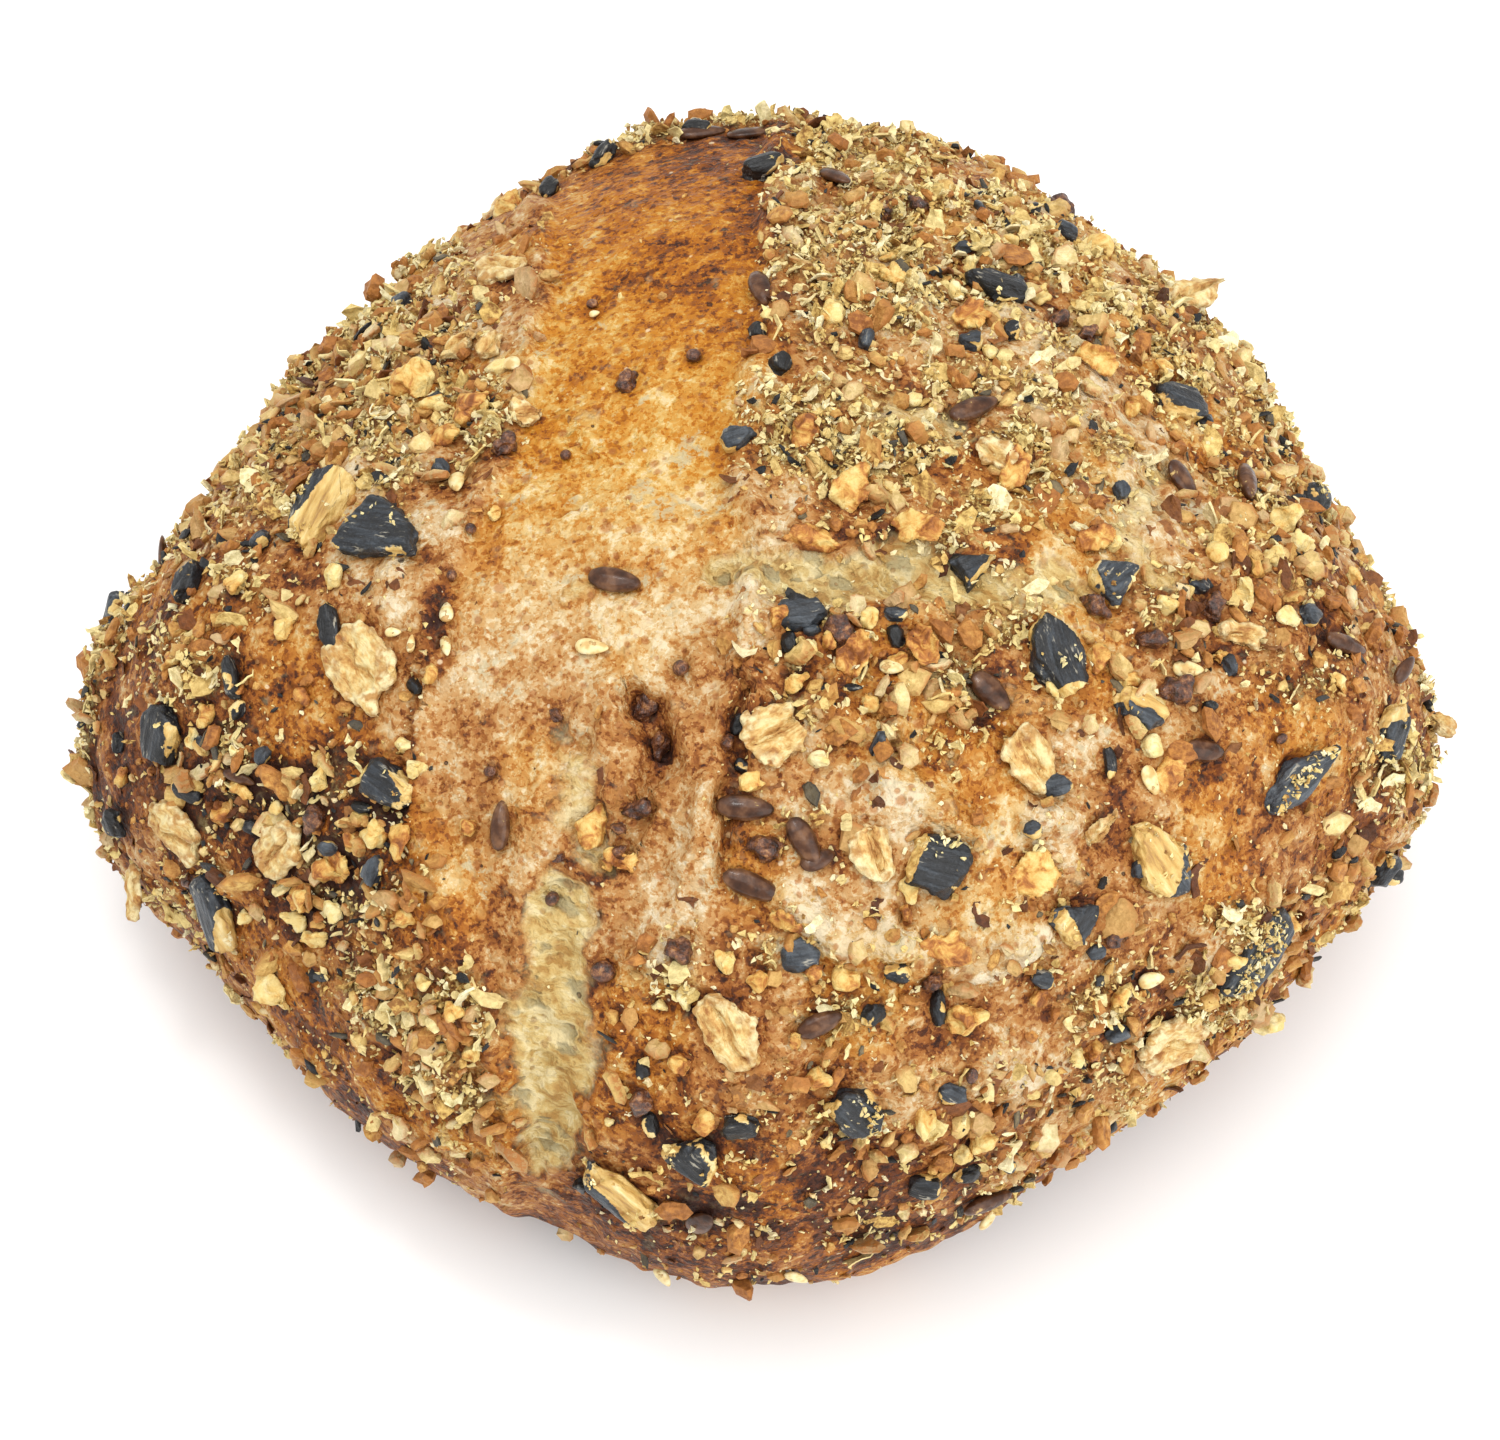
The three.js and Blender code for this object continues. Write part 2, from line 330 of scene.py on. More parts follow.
def makeStage():
    target = Vector(((layoutCentre + axisPlace) * mm).tolist())
    away = Vector(layoutOut.tolist())
    camera = newObject("camera", bpy.data.cameras.new("camera"))
    camera.data.lens = stage["lens"]
    camera.data.sensor_width = stage["sensor"]
    camera.data.clip_start, camera.data.clip_end = stage["clip"]
    camera.location = target + away * layout["distance"] * mm
    camera.rotation_euler = (-away).to_track_quat("-Z", "Y").to_euler()
    bpy.context.scene.camera = camera

    bpy.ops.mesh.primitive_plane_add(size=stage["floorEdge"])
    floor = bpy.context.object
    floor.name = "floor"
    material, nodes, shader, _ = newMaterial("paleFloor")
    tone = stage["floorTone"]
    nodes.give(shader, {"Base Color": (tone, tone, tone, 1), "Roughness": stage["floorRoughness"]})
    floor.data.materials.append(material)

    for name, (power, edge, colour, spot) in stage["lamps"].items():
        lamp = bpy.data.lights.new(name, "AREA")
        lamp.energy = power
        lamp.size = edge
        lamp.color = colour
        holder = newObject(name, lamp)
        holder.location = spot
        holder.rotation_euler = (Vector(stage["aim"]) - Vector(spot)).to_track_quat("-Z", "Y").to_euler()
    world = bpy.data.worlds.new("softRoom")
    world.use_nodes = True
    background = world.node_tree.nodes["Background"].inputs
    background["Color"].default_value = (1.0, 1.0, 1.0, 1)
    background["Strength"].default_value = stage["roomLight"]
    bpy.context.scene.world = world
    bpy.context.scene.view_settings.view_transform = "Standard"


makeStage()
print("stage ready")


# ---- the crust's shape
def outlineRadius(angle):
    radii = np.array(loaf["outlineRadii"])
    step = (angle / (2 * math.pi)) % 1 * len(radii)
    i = np.floor(step).astype(int) % len(radii)
    f = step - np.floor(step)
    a, b, c, d = (radii[(i + k) % len(radii)] for k in (-1, 0, 1, 2))
    return b + 0.5 * f * (c - a + f * (2 * a - 5 * b + 4 * c - d + f * (3 * (b - c) + d - a)))


def tuckAndBase():   # share of the outline and height of each ring from the waist down to the base's middle
    rings = []
    for row in range(1, loaf["tuckRows"] + 1):
        fall = math.pi / 2 * (row / loaf["tuckRows"])
        rings.append((loaf["baseShare"] + (1 - loaf["baseShare"]) * math.cos(fall),
                      loaf["waistHeight"] * (1 - math.sin(fall))))
    for row in range(1, loaf["baseRings"] + 1):
        rings.append((loaf["baseShare"] * (1 - row / (loaf["baseRings"] + 1)), 0.0))
    return rings


def crustGrid():
    cells = loaf["domeCells"]
    side = np.linspace(-1, 1, cells + 1)
    a, b = (w.ravel() for w in np.meshgrid(side, side, indexing="ij"))
    wide = np.abs(a) >= np.abs(b)   # a square grid laid over a disc
    reach = np.where(wide, a, b)
    safe = np.where(reach == 0, 1, reach)
    turn = np.where(wide, math.pi / 4 * b / safe, math.pi / 2 - math.pi / 4 * a / safe)
    x, y = reach * np.cos(turn), reach * np.sin(turn)
    angle = np.arctan2(y, x)
    climb = math.pi / 2 * (1 - np.minimum(np.hypot(x, y), 1))
    share = np.cos(climb) ** (2 / loaf["domeFullness"])
    height = loaf["waistHeight"] + (loaf["crownHeight"] - loaf["waistHeight"]) * np.sin(climb)
    rows = [np.stack([angle, share, height], 1)]
    number = np.arange((cells + 1) ** 2).reshape(cells + 1, cells + 1)
    faces = [(number[:-1, :-1], number[1:, :-1], number[1:, 1:], number[:-1, 1:])]
    rim = np.concatenate([number[:-1, 0], number[-1, :-1], number[:0:-1, -1], number[0, :0:-1]])
    last = rim
    made = number.size
    for ringShare, ringHeight in tuckAndBase():
        rows.append(np.stack([angle[rim], np.full(len(rim), ringShare), np.full(len(rim), ringHeight)], 1))
        ring = made + np.arange(len(rim))
        faces.append((last, np.roll(last, -1), np.roll(ring, -1), ring))
        last = ring
        made += len(rim)
    grid = np.concatenate(rows)
    radius = outlineRadius(grid[:, 0]) * grid[:, 1]
    points = np.stack([radius * np.cos(grid[:, 0]), radius * np.sin(grid[:, 0]), grid[:, 2]], 1)
    points = np.concatenate([points, [[0.0, 0.0, 0.0]]])
    quads = np.concatenate([np.stack([f.ravel() for f in corner], 1) for corner in faces]).tolist()
    quads += [(int(p), int(q), made) for p, q in zip(last, np.roll(last, -1))]
    return points, quads


# where the dough opened, as the left and right edges of a bare band at heights v
burst = {
    "leftV": (-46, -38, -30, -20, -7, 10, 20, 28, 54),
    "leftU": (-20, -21, -21.5, -24, -28, -27, -22, -19, -17),
    "rightV": (-46, -38, -24, -15, -7, 0, 10, 20, 28, 36, 54),
    "rightU": (-13.5, -13.8, -13, -8, -4, -3, -2, -1.5, 0, 0.5, 1.5),
    "dip": 0.8,
    "lip": 1.0,
    "softEdge": 0.8,
}
skin = {   # millimetres
    # how far each stands out, and how far apart they lie
    "swell": (0.75, 19),
    "dents": (0.45, 8.5),
    "puffs": (0.42, 3.6),
    "pimples": (0.13, 1.25),
    "wrinkles": (0.2, 5.5),
    "mealHeaps": (1.5, 2.4),
    "blisters": {"count": 1900, "radius": (0.45, 1.5), "rise": (0.1, 0.32), "draw": 7},
    "flatFoot": 9.0,   # height under which the skin grows smooth
    "seedGap": 0.35,   # how deep the dough draws back round a seed
}
baking = {   # how much each browns the crust or darkens it with painted shade, where 0 is pale dough and 1 is burnt
    "middle": 0.5,
    "foot": 0.26,
    "spotReach": 0.75,   # of the radius in the rows of tones
    "lips": 0.1,
    # meal and chop darken the crust under the topping: painted shade in the gaps between the pieces
    "meal": 0.28,
    "chop": 0.14,
    # paler on the puffs and darker in the hollows between them; the darkening in the hollows is painted shade
    "puffs": -0.24,
}
# rows of route, half width, height (negative is a cleft), how much it browns (negative pales; in a cleft the
# darkening is partly painted shade), how porous
marks = [
    ([(-17, -16), (-17.4, -24), (-17.6, -32), (-17.8, -38.6)], 3.6, -0.9, -0.2, 1.0),   # pale slash
    ([(-3, 13), (4, 12.6), (10, 12), (16, 11.6), (22, 10.5)], 2.4, -1.1, -0.34, 1.0),   # pale fissure
    ([(24, 12.5), (27.5, 12)], 2.2, -0.4, -0.3, 0.8),
    ([(-3.5, 17), (1, 17.4), (6, 16), (11, 15.8)], 1.4, 1.0, 0.2, 0.0),   # the lip over the fissure
    ([(-0.6, 4.5), (-1.2, 0), (-1.0, -5), (-2.2, -9), (-3, -14)], 0.9, -1.4, 0.26, 0.0),   # cleft beside it
    ([(0.6, 5.5), (0.2, 0), (0.4, -5)], 0.9, 0.6, 0.18, 0.0),
    ([(-4.6, 6), (-4.4, -1), (-5, -8), (-6, -12)], 1.8, 0.9, -0.06, 0.0),   # the fold left of that cleft
    ([(-10.8, 2.8), (-9.4, 0.6), (-8.4, -3), (-9.4, -6.6)], 1.7, -1.5, 0.06, 0.0),   # dark folded pit
    ([(-10.2, 2.2), (-9.2, 0.4), (-8.4, -2.6)], 1.2, -0.4, 0.4, 0.0),
    ([(-13.2, 3.6), (-12.8, 0), (-12.4, -4), (-12.8, -7)], 0.9, 0.7, 0.12, 0.0),
    ([(-8.6, -7.5), (-10.5, -10.5), (-11.5, -13.5)], 0.7, -0.9, 0.14, 0.0),
    ([(-14.5, -9), (-14.8, -11.5), (-13.4, -13.5)], 1.4, 0.6, 0.24, 0.0),
    ([(-16.6, 0), (-17, -2)], 1.0, -0.7, 0.14, 0.3),
    ([(-15.6, -3), (-15.4, -8), (-13.6, -12)], 2.4, -0.6, -0.2, 0.45),   # the glassy hollow beside the pit
    ([(-17.4, 19.6), (-14.8, 19)], 0.6, -0.6, 0.34, 0.0),
    ([(-15.4, 25.4), (-14.2, 23.4)], 0.6, -0.4, 0.3, 0.0),
    ([(-15, 27), (-12.8, 26.2)], 0.8, 0.2, -0.3, 0.3),
    ([(-7.8, 30.4), (-5.6, 32.4)], 0.7, 0.2, -0.3, 0.3),
    ([(-16, 11), (-13.5, 12.5)], 0.9, 0.3, -0.2, 0.4),
    ([(2.6, -15.5), (8, -18.6), (14, -20), (21, -21), (25, -19)], 1.9, 1.5, -0.4, 0.2),   # pale ridges
    ([(10, -4.5), (15, -7), (20, -9.5), (27, -9)], 1.8, 1.3, -0.34, 0.15),
    ([(16, 4), (22, 1), (27, 2)], 1.3, 0.5, -0.2, 0.2),
    ([(28, -13), (32, -16), (31, -21)], 1.2, 0.5, -0.16, 0.1),
    ([(6, 3), (10, 1), (13, -3)], 1.0, -0.7, 0.16, 0.0),
    ([(-7, -21), (-3, -20), (2, -18)], 0.8, 0.6, -0.16, 0.0),
    ([(-27, -36.4), (-21, -38.2), (-16, -39.6), (-10, -43), (-4, -44.8)],
     0.6, -0.7, -0.3, 0.4),   # the crack along the side
    ([(-29, 4), (-30, -4), (-30.4, -10)], 0.8, -0.8, 0.2, 0.0),
    ([(-26.5, 13), (-28.2, 5)], 0.6, -0.6, 0.2, 0.0),
    ([(20, 0), (26, -4), (31, -5)], 0.7, -0.6, 0.14, 0.0),
    ([(36, 22), (33, 17), (36, 12)], 2.0, -0.3, -0.2, 0.5),
    ([(8, 24), (13, 27), (18, 25)], 1.8, -0.2, -0.24, 0.5),
    ([(21, 30), (25, 27)], 1.5, 0.2, -0.2, 0.2),
]
# rows of u, v, radius, bake: 0 is pale dough, 1 is burnt
tones = [
    (-2, 50, 5, .80), (-8, 47, 6, .66), (-6, 42, 7, .66), (-14, 42, 5, .56), (-12, 35, 7, .52),
    (-4, 36, 5, .55), (1.5, 42, 3, .78), (1.5, 34, 3, .62), (-8, 28, 6, .42), (-16, 27, 5, .42),
    (-12, 18, 6, .30), (-6, 18, 5, .24), (-18, 15, 5, .34), (-8, 9, 5, .20), (2, 12, 5, .18),
    (-16, 12, 4, .24), (-22, 8, 5, .36), (-25, 2, 5, .42), (-12, 5, 4, .28), (-5, 5, 4, .42),
    (-22, -4, 5, .36), (-16, -3, 3, .44), (-8.5, -3, 2.5, .6), (-14, -11, 3, .46), (-5, -5, 3, .44),
    (-24, -12, 5, .40), (-7, -14, 4, .38), (-19, -12, 4, .36), (-25, -20, 4, .62), (-12, -20, 4, .46),
    (-12, -29, 4, .60), (-8, -24, 4, .5), (-36, -24, 5, .72), (-33, -33, 5, .76), (-26, -33, 5, .58),
    (-22, -40, 4, .62), (-12, -45, 5, .74), (-2, -47, 6, .8), (-5, -30, 5, .58), (3, -30, 5, .50),
    (12, -32, 5, .50), (22, -31, 5, .48), (31, -33, 4, .44), (8, -41, 6, .8), (16, -43, 5, .8),
    (26, -38, 5, .56), (8, -17, 4, .20), (16, -17, 4, .26), (20, -21, 5, .34), (25, -12, 4, .4),
    (10, -6, 5, .32), (19, -7, 4, .42), (28, -6, 4, .46), (5, -5, 4, .30), (33, -6, 4, .5),
    (31, -18, 4, .46), (22, -26, 5, .44), (12, -26, 4, .50), (41, -3, 5, .62), (45, -9, 5, .54),
    (54, -6, 5, .58), (50, 1, 4, .5), (39, -14, 4, .60), (40, -22, 5, .54), (45, 5, 5, .54),
    (36, 5, 5, .52), (30, 11, 4, .36), (27, 12, 3, .18), (35, 19, 6, .28), (27, 27, 6, .3), (8, 30, 6, .38),
    (19, 31, 6, .4), (18, 18, 6, .52), (9, 23, 6, .54), (43, 20, 5, .46), (25, 37, 7, .42),
    (12, 43, 9, .36), (38, 33, 5, .58), (-22, 25, 4, .36), (-30, 21, 7, .34), (-42, 18, 6, .42),
    (-28, 12, 5, .42), (-42, 8, 6, .6), (-50, 4, 5, .76), (-36, 4, 6, .46), (-38, -3, 4, .74),
    (-44, -8, 5, .86), (-37, -12, 6, .9), (-32, -20, 4, .74), (-48, -13, 4, .72), (-20, 38, 3, .56),
    (-26, 34, 5, .32), (-56, -4, 5, .82), (1, -24, 5, .5), (-1, -35, 5, .6), (-10, -38, 5, .7),
]
meal = [   # rows of u, v, radius, strength of the fine yellow meal
    (12, 46, 8, 1), (22, 42, 8, 1), (8, 38, 6, 1), (17, 34, 7, .95), (30, 37, 6, .9), (26, 30, 5, .7),
    (38, 31, 5, .7), (5, 25, 4.5, .9), (12, 22, 5.5, 1), (18, 19, 5, .9), (24, 23, 5, .7), (31, 22, 5, .5),
    (43, 27, 4, .6), (12, 6, 5.5, 1), (17, 1, 4.5, .8), (8, 2, 5, 1), (16, -2, 3, .7), (21, 8, 3.5, .6),
    (36, 9, 4, .6), (5, 9, 3.5, 1), (28, 4, 3, .4), (5, -10, 3, .6), (4, -20, 3.5, .6), (12, -22, 4, .6),
    (8, -25, 3, .5), (26, -17, 4, .5), (31, -25, 4, .7), (38, -25, 4.5, .7), (42, -18, 2.5, .8),
    (46, 10, 4, .5), (48, 5, 4, .5), (40, 14, 4, .5), (45, 20, 4, .6), (-25, 36, 4, .5), (-30, 31, 5, 1),
    (-24, 27, 4, 1), (-33, 24, 5, .8), (-41, 22, 5, .7), (-45, 12, 4, .5), (-49, 5, 4, .5),
    (-44, -3, 4, .4), (-38, -6, 4, .4), (-34, -9, 4, .45), (-39, -14, 4.5, .4), (-33, -16, 3.5, .6),
    (-46, -9, 4, .3), (-32, -24, 4, .8), (-25, -25, 3.5, .8), (-28, -29, 3.5, .6), (-24, -33, 3, .6),
    (-48, -15, 3, .5), (-6, -22, 3, .5), (-9, -30, 3, .3), (4, -33, 4, .2), (-1, -40, 4, .15),
    (15, -38, 4, .25), (22, -40, 4, .25), (20, -31, 4, .3), (31, -33, 4, .3), (10, -43, 4, .15),
    (-1, -46, 4, .1), (20, 12.5, 3, .6), (55, -4, 4, .5), (50, -16, 3, .4),
]
chop = [   # rows of u, v, radius, strength of the coarse chopped kernels and hulls
    (-38, -8, 6, .85), (-33, -14, 5, .85), (-40, -16, 5, .75), (-46, -6, 5, .8), (-31, -22, 4, .8),
    (-27, -27, 4, 1), (-26, -32, 3, .5), (-28, 32, 5, .8), (-34, 27, 5, .8), (-24, 27, 4, .9),
    (-40, 24, 5, .7), (-45, 14, 5, .5), (-36, 3, 4, .4), (45, 14, 5, .8), (52, 8, 4, .8), (40, 8, 4, .8),
    (33, 2, 4, .4), (47, 22, 5, .7), (27, 21, 4, .4), (22, 26, 4, .35), (11, 4, 6, 1), (8, 0, 4, .9),
    (5, 7, 3.5, .9), (16, 0, 4, .7), (8, 38, 8, .25), (22, 40, 8, .3), (34, 32, 6, .4), (4, -36, 5, .35),
    (14, -40, 5, .28), (22, -36, 5, .28), (30, -30, 5, .35), (-4, -42, 5, .2), (5, -22, 4, .4),
    (12, -26, 4, .35), (44, -20, 5, .35), (36, -24, 4, .45), (52, -12, 4, .4), (20, -31, 4, .35),
    (12, 18, 4, .5),
]


def shapeCrust():
    points, faces = crustGrid()
    crust = meshObject("crust", points, faces)
    mesh = crust.data
    faceOutwards(mesh)
    out = normalsOf(mesh)
    u, v = layoutOf(points)
    sight = layoutEye - points
    sight /= np.linalg.norm(sight, axis=1, keepdims=True)
    facing = (out * sight).sum(1)
    seen = smoothStep(0.0, 0.22, facing)
    height = points[:, 2]

    wander = 1.3 * layeredNoise(points, 7, 11) + 0.5 * softNoise(points, 1.4, 14)
    fromLeft = u - np.interp(v, burst["leftV"], burst["leftU"]) + wander
    fromRight = np.interp(v, burst["rightV"], burst["rightU"]) - u + wander
    edge = burst["softEdge"]
    bare = smoothStep(-edge, edge, fromLeft) * smoothStep(-edge, edge, fromRight) * seen
    lips = (bell(fromRight + 1.4, 1.2) + 0.6 * bell(fromLeft + 1.2, 1.1)) * seen * smoothStep(-16, -6, v)

    # fine meal gathers in clumps, and the coarse pieces in looser ones
    elsewhere = (1 - seen) * smoothStep(12, 30, height)
    clumps = smoothStep(-0.3, 0.15, layeredNoise(points, 3.2, 43, 2))
    mealField = spotSum(u, v, meal) * seen + elsewhere * np.clip(0.45 + 0.9 * softNoise(points, 12, 41), 0, 1)
    offFoot = smoothStep(6, 13, height)
    mealHere = np.clip(1.15 * mealField, 0, 1) * (0.2 + 0.8 * clumps) * (1 - bare) * offFoot
    chopField = spotSum(u, v, chop) * seen + elsewhere * np.clip(0.3 + 0.9 * softNoise(points, 10, 47), 0, 1)
    chopHere = np.clip(chopField + 0.06, 0, 1) * (1 - bare) * offFoot

    (swell, swellSize), (dents, dentSize), (puff, puffSize) = skin["swell"], skin["dents"], skin["puffs"]
    (pimples, pimpleSize), (wrinkles, wrinkleSize) = skin["pimples"], skin["wrinkles"]
    lift = swell * softNoise(points, swellSize, 1) + dents * softNoise(points, dentSize, 2)
    puffs = layeredNoise(points, puffSize, 3)
    lift += puff * puffs * (1 - 0.65 * bare)
    lift += pimples * softNoise(points, pimpleSize, 8) * (1 - 0.5 * bare)
    lift += wrinkles * np.maximum(ridgedNoise(points, wrinkleSize, 9), 0) * (1 - 0.4 * bare)
    heap, heapSize = skin["mealHeaps"]
    heaps = 0.1 + heap * smoothStep(-0.3, 0.5, softNoise(points, heapSize, 10))
    lift += mealHere * heaps * (1 - 0.5 * smoothStep(48, 56, height))
    lift -= burst["dip"] * bare
    lift += burst["lip"] * lips * (0.6 + 0.7 * softNoise(points, 4, 4) + 0.3 * softNoise(points, 1.6, 5))

    weightSum = np.full(len(u), 0.05)
    foot = smoothStep(30, 8, height)
    bakeSum = weightSum * (baking["middle"] + baking["foot"] * foot + 0.1 * softNoise(points, 14, 21))
    for spotU, spotV, radius, value in tones:
        reach = (baking["spotReach"] * radius) ** 2
        weight = np.exp(-((u - spotU) ** 2 + (v - spotV) ** 2) / reach) * seen
        weightSum += weight
        bakeSum += weight * value
    bake = bakeSum / weightSum + baking["lips"] * lips * softNoise(points, 3, 22)
    # darker under the meal and the chopped pieces: painted shade in the gaps between them
    bake += baking["meal"] * mealHere ** 2 + baking["chop"] * np.clip(chopHere, 0, 1)
    # paler on the puffs, with painted shade in the hollows between them
    bake += baking["puffs"] * puffs * (1 - 0.5 * bare)

    # the marks are torn, so their routes wander and their depth and width change along them
    tornU = u + 0.8 * softNoise(points, 2.7, 61) + 0.5 * softNoise(points, 1.1, 62)
    tornV = v + 0.8 * softNoise(points, 2.7, 63) + 0.5 * softNoise(points, 1.1, 64)
    porous = np.zeros(len(u))
    for route, halfWidth, rise, browningAndShade, pores in marks:
        gap, along = routeDistance(tornU, tornV, route)
        taper = halfWidth * (0.5 + 0.5 * np.sin(math.pi * np.clip(along, 0.08, 0.92)))
        taper = taper * (1 + 0.5 * softNoise(points, 2.3, 31))
        inside = np.exp(-(gap / taper) ** 3) * seen
        lift += rise * inside * (0.8 + 0.7 * softNoise(points, 1.9, 32))
        if rise < 0:   # the torn edge stands up a little
            lift += 0.35 * bell(gap - 1.4 * taper, 0.4 * taper) * seen
        # clefts are browned and darkened by painted shade inside them; ridges are paled
        bake += browningAndShade * inside * (0.85 + 0.5 * softNoise(points, 1.6, 33))
        porous = np.maximum(porous, pores * inside)
    lift += 0.4 * porous * (ridgedNoise(points * [1, 2.4, 1], 2.6, 34) - 0.4)

    # blisters and small pits, scattered over the whole crust
    blisters = skin["blisters"]
    draw = np.random.default_rng(blisters["draw"])
    tree = nearestTree(points)
    for centre in draw.integers(0, (loaf["domeCells"] + 1) ** 2, blisters["count"]):
        radius = draw.uniform(*blisters["radius"])
        rise = draw.uniform(*blisters["rise"]) * draw.choice((1, 1, -1))
        for _, i, gap in tree.find_range(points[centre], radius):
            lift[i] += rise * math.cos(gap / radius * math.pi / 2) ** 2

    lift *= smoothStep(0.0, skin["flatFoot"], height)
    shaped = points + out * lift[:, None]
    shaped[:, 2] = np.maximum(shaped[:, 2], 0)
    setPoints(mesh, shaped)
    golden = bare * smoothStep(2, 26, v) + 0.6 * smoothStep(0.0, 0.45, softNoise(points, 9, 71))
    setAttributes(mesh, {
        "bake": bake,
        "porous": porous,
        "golden": np.clip(golden, 0, 1),
        "meal": mealHere * (1 - 0.8 * porous),
        "chop": chopHere * (1 - 0.9 * porous),
        "skin": (1 - 0.93 * bare) * (1 - 0.9 * porous) * smoothStep(6, 20, height),
        "back": smoothStep(-0.12, -0.3, facing),
    })
    smoothFaces(mesh)
    return crust


crust = shapeCrust()
print("crust shaped:", len(crust.data.polygons), "faces")


def surfaceTree(mesh):
    corners = np.zeros(len(mesh.loops), np.int32)
    mesh.loops.foreach_get("vertex_index", corners)
    starts = [(face.loop_start, face.loop_total) for face in mesh.polygons]
    return BVHTree.FromPolygons(pointsOf(mesh).tolist(), [corners[a:a + n].tolist() for a, n in starts])


crustTree = surfaceTree(crust.data)


def seatOn(u, v):   # where the layout's line through u, v meets the crust, and the way out there
    target = layoutCentre + u * layoutRight + v * layoutUp
    away = unit(target - layoutEye)
    spot, way, _, _ = crustTree.ray_cast(Vector(layoutEye.tolist()), Vector(away.tolist()))
    if spot is None:   # beyond the outline: the nearest point of the crust
        spot, way, _, _ = crustTree.find_nearest(Vector((target - 12 * layoutOut).tolist()))
    return np.array(spot), np.array(way)


# ---- the larger seeds, flakes and grains, each standing for its CAD node
seeds = {
    "voxel": 0.16,   # millimetres
    # for each kind of node: the slot it belongs to, and how far its middle stands above the crust
    "kinds": {"pumpkin_seed": ("pumpkin_seed", 0.45), "flax_seed": ("flax_seed", 0.4),
              "oat_flake": ("oat_flake", 0.35), "grain_chunk": ("grain", 0.5)},
    "cuts": {"pumpkin": (7, 0.26), "grain": (12, 0.5), "toffee": (6, 0.35)},   # flat breaks: number and depth
    "ribSpacing": 1.05,
    "dusting": 0.25,
    "lumps": {"grain": 0.26, "peel": 0.26, "toffee": 0.4},
    # where a split seed shows its yellow kernel: the side it faces, in degrees from the right, and how far
    "splits": {"pumpkin_seed_02": (-40, -1.2), "pumpkin_seed_10": (60, -0.3), "pumpkin_seed_17": (40, -0.4),
               "pumpkin_seed_20": (170, -1.6), "pumpkin_seed_09": (-70, 2.2), "pumpkin_seed_07": (-90, 1.5),
               "pumpkin_seed_14": (150, 1.6), "pumpkin_seed_24": (200, 0.2), "pumpkin_seed_21": (30, 1.2),
               "pumpkin_seed_12": (90, 1.2), "pumpkin_seed_05": (0, 1.0), "pumpkin_seed_16": (-20, 1.5)},
    # where meal is caked on a seed: the side it faces, how far over the band lies, and half its width
    "caked": {"pumpkin_seed_13": (150, 1.0, 1.5), "pumpkin_seed_11": (132, 0.3, 0.6),
              "pumpkin_seed_02": (150, 2.4, 0.6), "pumpkin_seed_22": (60, 0.0, 0.6),
              "pumpkin_seed_15": (0, 1.2, 0.6), "pumpkin_seed_14": (90, 2.2, 0.8)},
    # pieces with pointed ends: how much they narrow, how far one is drawn out, and how far the piece rises
    "pointed": {"oat_flake_10": (0.85, 0.75, 0.9), "pumpkin_seed_11": (0.6, 0.0, 0.0)},
}


def remeshed(name, source, voxel):
    mesh = source.data.copy()
    editMesh(mesh, lambda shell: bmesh.ops.remove_doubles(shell, verts=shell.verts, dist=0.001 * mm))
    mesh.materials.clear()
    holder = newObject(name + "Rough", mesh)
    remesh = holder.modifiers.new("remesh", "REMESH")
    remesh.mode = "VOXEL"
    remesh.voxel_size = voxel * mm
    holder.modifiers.new("smooth", "SMOOTH").iterations = 1
    piece = evaluatedPiece(name, holder)
    for attribute in [a for a in piece.data.attributes if a.name.startswith("_")]:
        piece.data.attributes.remove(attribute)
    return piece


def localAxes(points):   # middle, long axis, cross axis and outward axis of a seated piece
    middle = points.mean(0)
    _, _, axes = np.linalg.svd(points - middle, full_matrices=False)
    along, across, out = axes
    if out @ (middle - np.array([0, 0, 20.0])) < 0:
        out = -out
    if along[0] < 0:
        along = -along
    return middle, along, np.cross(out, along), out


def cutFlat(points, draw, count, depth):   # breaks off corners, leaving flat faces
    middle, along, across, out = localAxes(points)
    for _ in range(count):
        turn = draw.uniform(0, 2 * math.pi)
        way = unit(along * math.cos(turn) + across * math.sin(turn) + out * draw.uniform(-0.1, 0.9))
        reach = (points - middle) @ way
        over = np.maximum(reach - reach.max() * (1 - depth * draw.uniform(0.3, 1.0)), 0)
        points = points - 0.95 * over[:, None] * way
    return points


def rightOf(out, least=0.0):   # the way that looks most to the right across the outward one, or else most up
    right = layoutRight - out * (layoutRight @ out)
    if np.linalg.norm(right) < least:
        right = layoutUp - out * (layoutUp @ out)
    return unit(right)


